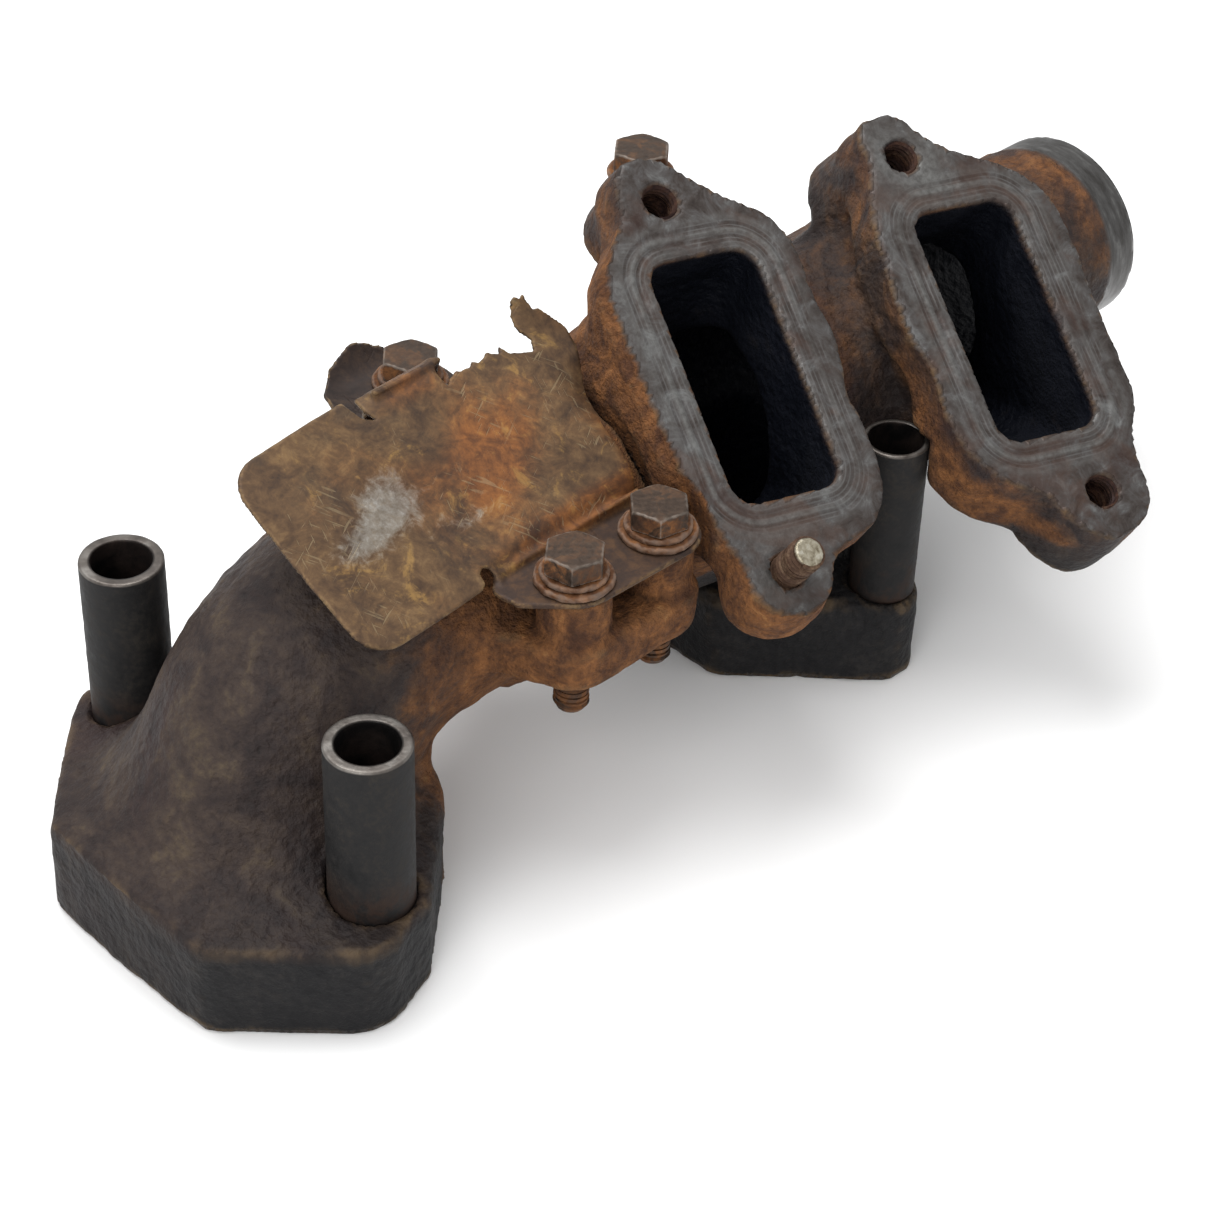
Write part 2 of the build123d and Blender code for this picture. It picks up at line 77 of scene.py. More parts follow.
# ---------------------------------------------------------------- outlet face axes
def face_axes():
    tilt, yaw, spin = (math.radians(v) for v in (34.4, -4.9, 15.2))
    down = np.array((0, -math.cos(tilt), -math.sin(tilt)))
    out = np.array((0, -math.sin(tilt), math.cos(tilt)))
    along = np.array((math.cos(yaw), 0, 0)) - out * math.sin(yaw)
    normal = out * math.cos(yaw) + np.array((math.sin(yaw), 0, 0))
    across = along * math.cos(spin) + down * math.sin(spin)
    slope = -along * math.sin(spin) + down * math.cos(spin)
    return across, slope, normal


ACROSS, SLOPE, OUT = face_axes()
FRONT_AT = np.array((131.0, -27.5, 97.4))
REAR_AT = FRONT_AT + 75.4 * ACROSS


def on_face(centre, u, v, h=0.0):
    return centre + u * ACROSS + v * SLOPE + h * OUT


def face_uvh(centre, x, y, z):
    dx, dy, dz = x - centre[0], y - centre[1], z - centre[2]
    return tuple(dx * a[0] + dy * a[1] + dz * a[2] for a in (ACROSS, SLOPE, OUT))


# ---------------------------------------------------------------- shape kit: distances, negative inside
def smooth_loop(points, steps=6):
    """Closed curve through a few outline points."""
    p = np.array(points, float)
    out = []
    for a, b, c, d in zip(np.roll(p, 1, 0), p, np.roll(p, -1, 0), np.roll(p, -2, 0)):
        for t in np.arange(steps) / steps:
            out.append(0.5 * (2 * b + (c - a) * t + (2 * a - 5 * b + 4 * c - d) * t * t
                              + (3 * b - a - 3 * c + d) * t ** 3))
    return np.array(out)


def round_hull(circles):
    """Belt round a few circles, each (x, y, radius)."""
    pts = [(x + r * math.cos(a), y + r * math.sin(a)) for x, y, r in circles
           for a in np.linspace(0, 2 * math.pi, 48, endpoint=False)]
    pts = sorted(set((round(x, 5), round(y, 5)) for x, y in pts))

    def half(seq):
        chain = []
        for q in seq:
            while len(chain) > 1 and ((chain[-1][0] - chain[-2][0]) * (q[1] - chain[-2][1])
                                      - (chain[-1][1] - chain[-2][1]) * (q[0] - chain[-2][0])) <= 0:
                chain.pop()
            chain.append(q)
        return chain[:-1]
    return np.array(half(pts) + half(pts[::-1]))


class Outline:
    """Signed distance to a closed flat outline, looked up from a half millimetre table."""

    def __init__(self, loop, margin=30.0, cell=0.5):
        self.low = loop.min(0) - margin
        self.cell = cell
        nx, ny = (np.ceil((loop.max(0) + margin - self.low) / cell).astype(int) + 1)
        gx, gy = np.meshgrid(self.low[0] + cell * np.arange(nx), self.low[1] + cell * np.arange(ny),
                             indexing="ij")
        best = np.full(gx.shape, 1e9)
        inside = np.zeros(gx.shape, bool)
        for a, b in zip(loop, np.roll(loop, -1, 0)):
            e = b - a
            px, py = gx - a[0], gy - a[1]
            t = np.clip((px * e[0] + py * e[1]) / max(e @ e, 1e-12), 0, 1)
            best = np.minimum(best, (px - t * e[0]) ** 2 + (py - t * e[1]) ** 2)
            if a[1] != b[1]:
                crosses = (a[1] > gy) != (b[1] > gy)
                inside ^= crosses & (gx < a[0] + (gy - a[1]) / (b[1] - a[1]) * e[0])
        self.table = np.where(inside, -1, 1) * np.sqrt(best)

    def __call__(self, u, v):
        i = np.clip((u - self.low[0]) / self.cell, 0, self.table.shape[0] - 1.001)
        j = np.clip((v - self.low[1]) / self.cell, 0, self.table.shape[1] - 1.001)
        i0, j0 = i.astype(np.int32), j.astype(np.int32)
        fi, fj = i - i0, j - j0
        t = self.table
        return ((t[i0, j0] * (1 - fi) + t[i0 + 1, j0] * fi) * (1 - fj)
                + (t[i0, j0 + 1] * (1 - fi) + t[i0 + 1, j0 + 1] * fi) * fj)


def both(a, b, edge=0.0):
    """Where two shapes overlap, with a rounded edge."""
    if edge == 0:
        return np.maximum(a, b)
    a, b = a + edge, b + edge
    return np.minimum(np.maximum(a, b), 0) + np.hypot(np.maximum(a, 0), np.maximum(b, 0)) - edge


def melt(a, b, fillet):
    """Two shapes run together with a fillet."""
    h = np.maximum(fillet - np.abs(a - b), 0) / fillet
    return np.minimum(a, b) - h * h * fillet / 4


def carve(a, b, edge=0.0):
    """Shape a with shape b cut out of it."""
    return both(a, -b, edge)


def lumps(x, y, z, size, seed=1):
    """Smooth random bumps from -1 to 1, the given size across."""
    cell, part = [], []
    for t in (x, y, z):
        whole = np.floor(t / size)
        f = t / size - whole
        cell.append(whole.astype(np.int64))
        part.append(f * f * (3 - 2 * f))
    total = 0
    for i in (0, 1):
        for j in (0, 1):
            for k in (0, 1):
                n = ((cell[0] + i) * 73856093 ^ (cell[1] + j) * 19349663
                     ^ (cell[2] + k) * 83492791 ^ seed * 7919)
                n = ((n ^ (n >> 13)) * 1274126177) & 0xFFFFFFF
                knob = ((n ^ (n >> 15)) & 0xFFFF) / 32767.5 - 1
                weight = 1
                for w, side in zip(part, (i, j, k)):
                    weight = weight * (w if side else 1 - w)
                total = total + knob * weight
    return total


def roughen(skin, x, y, z):
    """Sand-cast surface: shallow lumps of two sizes."""
    near = np.abs(skin) < 4
    p = x[near], y[near], z[near]
    skin[near] -= 0.26 * lumps(*p, 4.6) + 0.24 * lumps(*p, 2.7, 5) + 0.4 * lumps(*p, 26, 9)
    return skin


def rise(value, low, high):
    """Smooth step from 0 to 1 between two limits."""
    t = np.clip((value - low) / (high - low), 0, 1)
    return t * t * (3 - 2 * t)


def slab(t, low, high):
    return np.abs(t - (low + high) / 2) - (high - low) / 2


def rod(a, b, t, radius, low, high, edge=0.0):
    return both(np.hypot(a, b) - radius, slab(t, low, high), edge)


def box_plan(u, v, half_u, half_v, corner):
    a, b = np.abs(u) - half_u + corner, np.abs(v) - half_v + corner
    return np.minimum(np.maximum(a, b), 0) + np.hypot(np.maximum(a, 0), np.maximum(b, 0)) - corner


def bend_line(x, z):
    """Distance in the elbow's plane from its centre line."""
    start_z = JOINT_Z - ELBOW_BEND
    ring = np.hypot(x - ELBOW_BEND, z - start_z) - ELBOW_BEND
    return np.where(x > ELBOW_BEND, z - JOINT_Z, np.where(z < start_z, x, ring))


# ---------------------------------------------------------------- outlines
front_foot = Outline(round_hull([
    (-31.9, -29, 9), (-31.6, 19, 9), (26, -23, 9), (27, 22, 9), (-1, HALF_BOLTS, 14.5), (-8, -45, 14.3),
    (2, -46, 10)]))
rear_foot = Outline(round_hull([
    (-28.5, -17.5, 9), (-28.5, 17.5, 9), (24.5, -15.5, 9), (27, 17, 9), (-0.5, HALF_BOLTS, 11),
    (-1, -HALF_BOLTS, 10)]))
side_web = Outline(round_hull([(*SIDE_BOLT, SIDE_BOSS_R), (149, 8, SIDE_BOSS_R)]))
near_ledge = Outline(round_hull([
    (*NEAR_BOLTS[0], 10), (*NEAR_BOLTS[1], 10), (49, -23, 5), (95, -23, 5), (49, -17, 5)]))
far_ledge = Outline(round_hull([(*FAR_BOLT, 10), (60, 23, 5), (96, 23, 5), (60, 17, 5)]))
near_strap = Outline(round_hull([
    (*NEAR_BOLTS[0], 9.7), (*NEAR_BOLTS[1], 10), (50.5, -33.5, 4), (94, -31.5, 3), (49, -38.5, 1.8)]))
front_flange = Outline(smooth_loop([
    (-9, -58.6), (-2, -58), (4, -53.5), (10.5, -47.5), (20.5, -40.5), (25.6, -32), (25.8, -16),
    (26.8, -3), (24.3, 10), (25.5, 20), (24.2, 34), (18.5, 42), (9, 46), (4, 50), (0.5, 56), (-6, 60),
    (-14, 58.3), (-18.5, 53), (-19.5, 42), (-23.5, 29), (-25.8, 14), (-26, -10), (-25.3, -29),
    (-17.5, -42), (-14.5, -51), (-13, -56)]))
rear_flange = Outline(smooth_loop([
    (-14, -58.7), (-7, -58.3), (-1, -51.5), (6, -45.5), (17, -40), (25.5, -31), (28.3, -17),
    (27.3, 0), (26.8, 24), (22.5, 35), (20.5, 43), (20.3, 51), (15.5, 58), (5, 60.6), (-1.5, 57),
    (-6, 51), (-9, 46.3), (-17, 41.5), (-23.5, 34), (-26.8, 22), (-25.6, 8), (-28, -3), (-26.5, -22),
    (-23, -38), (-20.3, -45), (-19, -56)]))


# ---------------------------------------------------------------- the two castings
def elbow_gas(x, y, z):
    """Gas way from the head port round the bend."""
    gas = both(np.hypot(bend_line(x, z), y) - ELBOW_GAS_R, np.maximum(4 - z, x - 74))
    return np.minimum(gas, both(box_plan(x, y, 20, 20, 12), slab(z, -9, 13)))


def front_casting(x, y, z):
    """Foot, elbow, female collar and shield lugs."""
    foot = both(front_foot(x, y), slab(z, -6, FOOT_T), FOOT_EDGE)
    pipe = np.hypot(bend_line(x, z) + ELBOW_LEAN, y) - ELBOW_R
    pipe = both(pipe, np.maximum(8 - z, x - 80))
    skin = melt(foot, pipe, 24)
    foot_limit = front_foot(x, y) - 3 * np.clip(z - 24.4, 0, 60) - 30 * rise(x, 5, 35)
    skin = both(skin, foot_limit, 2)
    skin = melt(skin, rod(y, z - JOINT_Z, x, COLLAR_R, *COLLAR_ENDS, 1.2), 5)
    ledge = both(near_ledge(x, y), slab(z, *LEDGE_Z), 2.5)
    for bx, by in NEAR_BOLTS:
        ledge = melt(ledge, rod(x - bx, y - by, z, LUG_R, LUG_LOW, STRAP_Z, 0.5), 1.5)
    far = both(far_ledge(x, y), slab(z, *LEDGE_Z), 2.5)
    far = melt(far, rod(x - FAR_BOLT[0], y - FAR_BOLT[1], z, LUG_R, LUG_LOW, STRAP_Z, 0.5), 4)
    skin = roughen(melt(skin, np.minimum(ledge, far), 5), x, y, z)
    skin = carve(skin, elbow_gas(x, y, z), 0.8)
    skin = carve(skin, rod(y, z - JOINT_Z, x, SOCKET_R, 73, 120), 0.5)
    for side in (-HALF_BOLTS, HALF_BOLTS):
        skin = carve(skin, rod(x, y - side, z, HEAD_HOLE_R, -9, 40), 0.4)
        skin = carve(skin, rod(x, y - side, z, 10.4, SEAT_Z, 60), 0.5)
    for bx, by in (*NEAR_BOLTS, FAR_BOLT):
        skin = carve(skin, rod(x - bx, y - by, z, TAPPED_R, 40, 90), 0.3)
    return both(skin, -z, 0.4)


def neck(u, v, h, top, low, depth):
    """Tapering duct under an outlet; top and low give its half sizes and middle."""
    t = np.clip((-6.25 - h) / (depth - 6.25), 0, 1)
    mix = [a + (b - a) * t for a, b in zip(top, low)]
    return both(box_plan(u - mix[2], v - mix[3], mix[0], mix[1], 13), slab(h, -depth, -5))


def log_gas(x, y, z):
    """Gas ways of the centre casting: log, spigots, rear port and the two outlets."""
    gas = rod(y, z - JOINT_Z, x, 19.5, 70, 120)
    gas = np.minimum(gas, rod(y, z - LOG_Z, x, LOG_GAS_R, 115, 227, 4))
    gas = np.minimum(gas, rod(y, z - END_Z, x, 20.5, 218, 300))
    gas = np.minimum(gas, both(box_plan(x - PORT_PITCH, y, 20, 20, 12), slab(z, -9, LOG_Z)))
    for centre, shift, depth in ((FRONT_AT, (0, 0), 44), (REAR_AT, (4, -16), 50)):
        u, v, h = face_uvh(centre, x, y, z)
        t = np.clip((-16 - h) / (depth - 16), 0, 1)
        way = box_plan(u - shift[0] * t, v - shift[1] * t, OPENING_U, OPENING_V - 8.5 * t,
                       OPENING_CORNER + 6 * t)
        gas = np.minimum(gas, both(way, slab(h, -depth, 9)))
    return gas


def slide_room(x, y, z):
    """Room for the front half to slide into: its collar, ledges and strap, grown a little."""
    ahead = x - ROOM_AHEAD
    room = rod(y, z - JOINT_Z, x, COLLAR_R + 1.5, 60, COLLAR_ENDS[1] + 2.2)
    ledges = np.minimum(near_ledge(ahead, y), far_ledge(ahead, y)) - ROOM_ROUND
    room = np.minimum(room, both(ledges, slab(z, 50, STRAP_Z + 1)))
    return np.minimum(room, both(near_strap(ahead, y) - 1.0, slab(z, STRAP_Z - 3, STRAP_Z + 8)))


def centre_casting(x, y, z):
    """Spigot, log, two outlets, rear foot and rear spigot."""
    log = rod(y, z - LOG_Z, x, LOG_R, *LOG_ENDS, 6)
    log = melt(log, rod(y, z - END_Z, x, 26.4, 220, 276, 0.8), 7)
    foot = both(rear_foot(x - PORT_PITCH, y), slab(z, -6, FOOT_T), FOOT_EDGE)
    riser = rod(x - PORT_PITCH, y, z, RISER_R, 12, LOG_Z)
    skin = melt(log, melt(foot, riser, 9), 10)
    horns = []
    for centre, plate, top, low, depth, up, down, draft, thicker in (
        (FRONT_AT, front_flange, (25, 38, -1.8, 2), (26, 31, 2, 0), 46, FRONT_UP, FRONT_DOWN, 0.05, 1.5),
        (REAR_AT, rear_flange, (22.5, 38.5, 1, -3.5), (24, 30, 6, -17), 52, REAR_UP, REAR_DOWN, 0.2, 10),
    ):
        u, v, h = face_uvh(centre, x, y, z)
        horn = neck(u, v, h, top, low, depth)
        back = -FLANGE_T - thicker * rise(v, 2, 34)
        flange = both(plate(u, v) - 0.05 * np.clip(-h, 0, 12), np.maximum(back - h, h - 8), 2.2)
        boss = np.hypot(u - up[0], v - up[1]) - BOSS_R + 5 * (draft - 0.05) + draft * np.minimum(h + 6, 0)
        flange = melt(flange, both(boss, slab(h, -22 if draft < 0.1 else -26, -4), 2), 4)
        ear = rod(u - down[0], v - down[1], h, EAR_R, -17 - 0.75 * thicker, -4, 3)
        flange = melt(flange, ear, 4)
        horns.append(melt(horn, flange, 7))
    skin = melt(skin, np.minimum(*horns), 11)
    ledge = rod(x - SIDE_BOLT[0], y - SIDE_BOLT[1], z, SIDE_BOSS_R, 80, SIDE_BOSS_TOP, 0.8)
    web = both(side_web(x, y), slab(z, 80, SIDE_BOSS_TOP - 8), 2)
    skin = roughen(melt(skin, melt(ledge, web, 3), 5), x, y, z)
    skin = carve(skin, slide_room(x, y, z), 1.5)
    skin = np.minimum(skin, rod(y, z - END_Z, x, SPIGOT_R, 270, 288, 1.0))
    skin = np.minimum(skin, rod(y, z - JOINT_Z, x, SPIGOT_R, 76, 114, 1.0))
    for ring in RING_GROOVES:
        channel = both(23.0 - np.hypot(y, z - JOINT_Z), slab(x, ring - 1.35, ring + 1.35))
        skin = carve(skin, channel)
    skin = both(skin, face_uvh(FRONT_AT, x, y, z)[2], 0.7)
    skin = carve(skin, log_gas(x, y, z), 0.9)
    for side in (-HALF_BOLTS, HALF_BOLTS):
        skin = carve(skin, rod(x - PORT_PITCH, y - side, z, HEAD_HOLE_R, -9, 40), 0.4)
        skin = carve(skin, rod(x - PORT_PITCH, y - side, z, 8.8, SEAT_Z, SLEEVE_TOP + 2), 0.5)
    for centre, spot, radius in ((FRONT_AT, FRONT_UP, 4.5), (REAR_AT, REAR_UP, 4.5),
                                 (REAR_AT, REAR_DOWN, 4.4), (FRONT_AT, FRONT_DOWN, TAPPED_R)):
        u, v, h = face_uvh(centre, x, y, z)
        skin = carve(skin, rod(u - spot[0], v - spot[1], h, radius, -20, 9), 0.5)
    skin = carve(skin, rod(x - SIDE_BOLT[0], y - SIDE_BOLT[1], z, TAPPED_R, 87.7, 130), 0.3)
    return both(skin, -z, 0.4)


# ---------------------------------------------------------------- skin over a shape
def skin_over(shape, low, high, step):
    """Closed quad mesh on the zero surface of a distance function."""
    low = np.array(low, float) - 2.13 * step
    count = np.ceil((np.array(high, float) + 2 * step - low) / step).astype(int) + 1
    axes = [low[i] + step * np.arange(count[i]) for i in range(3)]
    field = np.empty(count, np.float32)
    for start in range(0, count[0], 24):
        x, y, z = np.meshgrid(axes[0][start:start + 24], axes[1], axes[2], indexing="ij")
        field[start:start + 24] = shape(x, y, z)
    inside = field < 0
    corners = [(i, j, k) for i in (0, 1) for j in (0, 1) for k in (0, 1)]
    cut = [slice(0, -1), slice(1, None)]
    total = sum(inside[cut[i], cut[j], cut[k]].astype(np.int8) for i, j, k in corners)
    cells = np.argwhere((total > 0) & (total < 8))
    index = np.full(total.shape, -1, np.int32)
    index[tuple(cells.T)] = np.arange(len(cells))
    spot = np.zeros((len(cells), 3))
    hits = np.zeros(len(cells))
    for a in corners:
        for axis in range(3):
            if a[axis]:
                continue
            b = list(a)
            b[axis] = 1
            fa = field[tuple((cells + a).T)]
            fb = field[tuple((cells + b).T)]
            crossed = (fa < 0) != (fb < 0)
            t = np.where(crossed, fa / np.where(crossed, fa - fb, 1), 0)
            p = np.array(a, float)[None] + t[:, None] * (np.array(b) - np.array(a))[None]
            spot += np.where(crossed[:, None], p, 0)
            hits += crossed
    points = low + (cells + spot / hits[:, None]) * step
    faces = []
    for axis in range(3):
        s0 = [slice(None)] * 3
        s1 = [slice(None)] * 3
        s0[axis], s1[axis] = slice(0, -1), slice(1, None)
        first, second = inside[tuple(s0)], inside[tuple(s1)]
        edges = np.argwhere(first != second)
        b, c = (axis + 1) % 3, (axis + 2) % 3
        edges = edges[(edges[:, b] > 0) & (edges[:, c] > 0)
                      & (edges[:, b] < total.shape[b]) & (edges[:, c] < total.shape[c])]
        quad = []
        for db, dc in ((-1, -1), (0, -1), (0, 0), (-1, 0)):
            cell = edges.copy()
            cell[:, b] += db
            cell[:, c] += dc
            quad.append(index[tuple(cell.T)])
        quad = np.stack(quad, 1)
        flip = ~first[tuple(edges.T)]
        quad[flip] = quad[flip][:, ::-1]
        faces.append(quad)
    faces = np.concatenate(faces)
    for _ in range(3):
        points = relax(points, faces, 0.5)
        points = settle(shape, points)
    return points, faces


def relax(points, faces, amount):
    """Draw each point towards the middle of its neighbours."""
    total = np.zeros_like(points)
    count = np.zeros(len(points))
    for i in range(4):
        for j in (1, 3):
            np.add.at(total, faces[:, i], points[faces[:, (i + j) % 4]])
            np.add.at(count, faces[:, i], 1)
    return points + amount * (total / count[:, None] - points)


def settle(shape, points, reach=0.15):
    """Move points onto the zero surface of a distance function."""
    value = shape(*points.T)
    grad = np.stack([shape(*(points + reach * way).T) - value for way in np.eye(3)], 1) / reach
    size = np.maximum((grad ** 2).sum(1), 0.25)
    return points - np.clip(value / size, -0.8, 0.8)[:, None] * grad


def mesh_from(name, points, faces, material=None, smooth=True):
    mesh = bpy.data.meshes.new(name)
    mesh.from_pydata((points * MM).tolist() if isinstance(points, np.ndarray) else points, [],
                     faces.tolist() if isinstance(faces, np.ndarray) else faces)
    mesh.update()
    if smooth:
        mesh.shade_smooth()
    piece = bpy.data.objects.new(name, mesh)
    bpy.context.scene.collection.objects.link(piece)
    if material:
        mesh.materials.append(material)
    return piece


# ---------------------------------------------------------------- paint kit
LIGHT_LEVEL = 1.35          # how much brighter the lamps make a surface than its paint


def tone(r, g, b):
    """Paint for a colour as it should look in the studio light, from the usual 0 to 255 values."""
    linear = (c / 255 / 12.92 if c < 11 else ((c / 255 + 0.055) / 1.055) ** 2.4 for c in (r, g, b))
    return tuple(c / LIGHT_LEVEL for c in linear) + (1.0,)


class Paint:
    """A material built up a node at a time, on the object's own coordinates."""

    def __init__(self, name):
        self.material = bpy.data.materials.new(name)
        self.material.use_nodes = True
        self.tree = self.material.node_tree
        self.shader = self.tree.nodes["Principled BSDF"]
        self.place = self.tree.nodes.new("ShaderNodeTexCoord").outputs["Object"]

    def feed(self, socket, value):
        if isinstance(value, bpy.types.NodeSocket):
            self.tree.links.new(value, socket)
        else:
            socket.default_value = value

    def noise(self, size, detail=4, rough=0.55, warp=0.0, stretch=None):
        """Cloudy 0 to 1 pattern, its size in millimetres."""
        node = self.tree.nodes.new("ShaderNodeTexNoise")
        place = self.place
        if stretch:
            turn = self.tree.nodes.new("ShaderNodeMapping")
            turn.vector_type = "TEXTURE"
            turn.inputs["Scale"].default_value = [1 / s for s in stretch[:3]]
            turn.inputs["Rotation"].default_value = stretch[3:]
            self.feed(turn.inputs["Vector"], place)
            place = turn.outputs[0]
        self.feed(node.inputs["Vector"], place)
        node.inputs["Scale"].default_value = 1000 / size
        node.inputs["Detail"].default_value = detail
        node.inputs["Roughness"].default_value = rough
        node.inputs["Distortion"].default_value = warp
        return node.outputs["Fac"]

    def cells(self, size):
        """Distance from scattered middles, their spacing in millimetres."""
        node = self.tree.nodes.new("ShaderNodeTexVoronoi")
        self.feed(node.inputs["Vector"], self.place)
        node.inputs["Scale"].default_value = 1000 / size
        return node.outputs["Distance"]

    def worn(self, name):
        """A value painted on the mesh."""
        node = self.tree.nodes.new("ShaderNodeAttribute")
        node.attribute_name = name
        return node.outputs["Fac"]

    def along(self, axis):
        """Object coordinate in millimetres."""
        node = self.tree.nodes.new("ShaderNodeSeparateXYZ")
        self.feed(node.inputs[0], self.place)
        return self.times(node.outputs[axis], 1000)

    def sum(self, kind, a, b=0.0, c=0.0, clamp=False):
        node = self.tree.nodes.new("ShaderNodeMath")
        node.operation = kind
        node.use_clamp = clamp
        for socket, value in zip(node.inputs, (a, b, c)):
            self.feed(socket, value)
        return node.outputs[0]

    def times(self, a, b, clamp=False):
        return self.sum("MULTIPLY", a, b, clamp=clamp)

    def plus(self, a, b):
        return self.sum("ADD", a, b)

    def line(self, value, slope, start):
        return self.sum("MULTIPLY_ADD", value, slope, start)

    def step(self, value, low, high, out_low=0.0, out_high=1.0):
        """Smooth rise of a value between two limits."""
        node = self.tree.nodes.new("ShaderNodeMapRange")
        node.interpolation_type = "SMOOTHSTEP"
        for socket, number in zip(node.inputs, (value, low, high, out_low, out_high)):
            self.feed(socket, number)
        return node.outputs[0]

    def ramp(self, value, *stops):
        """Colours along a value, each stop (place, r, g, b)."""
        node = self.tree.nodes.new("ShaderNodeValToRGB")
        band = node.color_ramp
        while len(band.elements) < len(stops):
            band.elements.new(0.5)
        for element, (place, *colour) in zip(band.elements, stops):
            element.position = place
            element.color = tone(*colour)
        self.feed(node.inputs[0], value)
        return node.outputs[0]

    def blend(self, amount, a, b):
        """Colour a going over to colour b, each from a socket or as (r, g, b)."""
        node = self.tree.nodes.new("ShaderNodeMix")
        node.data_type = "RGBA"
        self.feed(node.inputs[0], amount)
        for place, colour in ((6, a), (7, b)):
            self.feed(node.inputs[place], tone(*colour) if isinstance(colour, tuple) else colour)
        return node.outputs[2]

    def finish(self, colour, rough, metal, height, depth=0.3, gloss=0.16):
        """Wire up the shader; height is in units of depth, in millimetres."""
        self.shader.inputs["Specular IOR Level"].default_value = gloss
        bump = self.tree.nodes.new("ShaderNodeBump")
        bump.inputs["Strength"].default_value = 1.0
        bump.inputs["Distance"].default_value = depth * MM
        self.feed(bump.inputs["Height"], height)
        self.feed(self.shader.inputs["Base Color"], colour)
        self.feed(self.shader.inputs["Roughness"], rough)
        self.feed(self.shader.inputs["Metallic"], metal)
        self.feed(self.shader.inputs["Normal"], bump.outputs[0])
        return self.material


# ---------------------------------------------------------------- paints
def rust_colour(p, cloud, grit):
    """Brown to sandy orange crust."""
    mixed = p.plus(p.times(cloud, 0.72), p.times(grit, 0.28))
    return p.ramp(mixed, (0.28, 56, 38, 30), (0.41, 84, 56, 40), (0.51, 112, 75, 48),
                  (0.60, 138, 92, 56), (0.74, 168, 126, 80))


def cast_iron():
    """Both castings: sooty inside, rusted outside, bare where machined."""
    p = Paint("cast_iron")
    wide, cloud = p.noise(48, 3, 0.55, 0.4), p.noise(13, 6, 0.62, 0.6)
    grit = p.noise(1.7, 3, 0.6)
    pits = p.cells(2.6)
    skin = p.ramp(p.plus(p.times(cloud, 0.75), p.times(grit, 0.25)),
                  (0.30, 34, 29, 29), (0.44, 51, 42, 40), (0.56, 66, 55, 49),
                  (0.70, 90, 77, 61))
    # darker colour for the low parts of the castings: the feet, and on the front half the near side low down
    darkened_low = p.ramp(p.plus(p.times(cloud, 0.6), p.times(grit, 0.4)),
                  (0.32, 20, 20, 22), (0.52, 32, 31, 32), (0.72, 50, 47, 45))
    rust = rust_colour(p, p.noise(8, 6, 0.65, 0.8), grit)
    purple = p.step(wide, 0.5, 0.66)
    skin = p.blend(p.times(purple, 0.55), skin, (58, 43, 43))
    skin = p.blend(p.worn("darkened_low"), skin, darkened_low)
    spread = p.plus(p.plus(p.worn("rust"), p.line(cloud, 1.1, -0.55)),
                   p.line(wide, 0.9, -0.45))
    amount = p.step(spread, 0.22, 0.78)
    colour = p.blend(amount, skin, rust)
    dust = p.times(p.step(p.worn("edge"), 0.12, 0.75), p.step(cloud, 0.35, 0.6), clamp=True)
    colour = p.blend(p.times(dust, 0.5), colour, (122, 100, 72))
    # painted shade: concave creases and recesses darkened towards dark brown
    painted_crease_shade = p.step(p.worn("edge"), -0.1, -0.8)
    colour = p.blend(p.times(painted_crease_shade, 0.55), colour, (30, 22, 18))
    streak = p.noise(6.5, 7, 0.7, 0.9)
    bare = p.ramp(streak, (0.30, 54, 47, 44), (0.45, 76, 70, 67), (0.57, 92, 89, 88),
                  (0.72, 124, 125, 124))
    scoring = p.sum("SINE", p.line(p.worn("gap"), 5.4, p.times(wide, 9.0)))
    patches = p.times(p.step(p.worn("gap"), 9.5, 7.0), p.step(cloud, 0.36, 0.56))
    scoring = p.times(p.step(scoring, 0.1, 1.0), patches)
    bare = p.blend(p.times(scoring, 0.5), bare, (118, 117, 116))
    stain = p.step(p.noise(17, 5, 0.6, 0.5), 0.47, 0.62)
    browned = p.ramp(cloud, (0.35, 66, 48, 43), (0.65, 96, 76, 66))
    bare = p.blend(p.times(stain, 0.6), bare, browned)
    rubbed_bright = p.ramp(grit, (0.35, 98, 97, 95), (0.65, 130, 130, 128))
    bare = p.blend(p.worn("ridge"), bare, rubbed_bright)
    colour = p.blend(p.worn("bare"), colour, bare)
    bright = p.ramp(p.noise(6, 5, 0.7, 0.2, (2.5, 0.6, 0.6, 0, 0, 0)), (0.35, 70, 68, 66),
                    (0.55, 94, 93, 92), (0.75, 128, 128, 126))
    colour = p.blend(p.worn("turned"), colour, bright)
    soot = p.ramp(cloud, (0.35, 7, 10, 19), (0.62, 15, 18, 28), (0.84, 36, 32, 32))
    colour = p.blend(p.worn("soot"), colour, soot)
    shine = p.sum("MAXIMUM", p.times(p.worn("bare"), 0.55), p.times(p.worn("turned"), 0.85))
    rough = p.step(p.plus(amount, p.times(grit, 0.4)), 0.0, 1.3, 0.58, 0.9)
    rough = p.sum("SUBTRACT", rough, p.times(shine, 0.34))
    machined = p.sum("MAXIMUM", p.times(p.worn("bare"), 0.8), p.times(p.worn("turned"), 0.93))
    calm = p.sum("SUBTRACT", 1.0, machined)
    pebble = p.times(p.noise(3.1, 3, 0.6), 0.75)
    height = p.plus(p.times(grit, 0.4), p.times(p.sum("POWER", pits, 0.7), 0.4))
    height = p.plus(height, pebble)
    height = p.plus(height, p.times(p.noise(0.7, 2, 0.5), p.times(amount, 0.5)))
    return p.finish(colour, rough, shine, p.times(height, calm), 1.25)


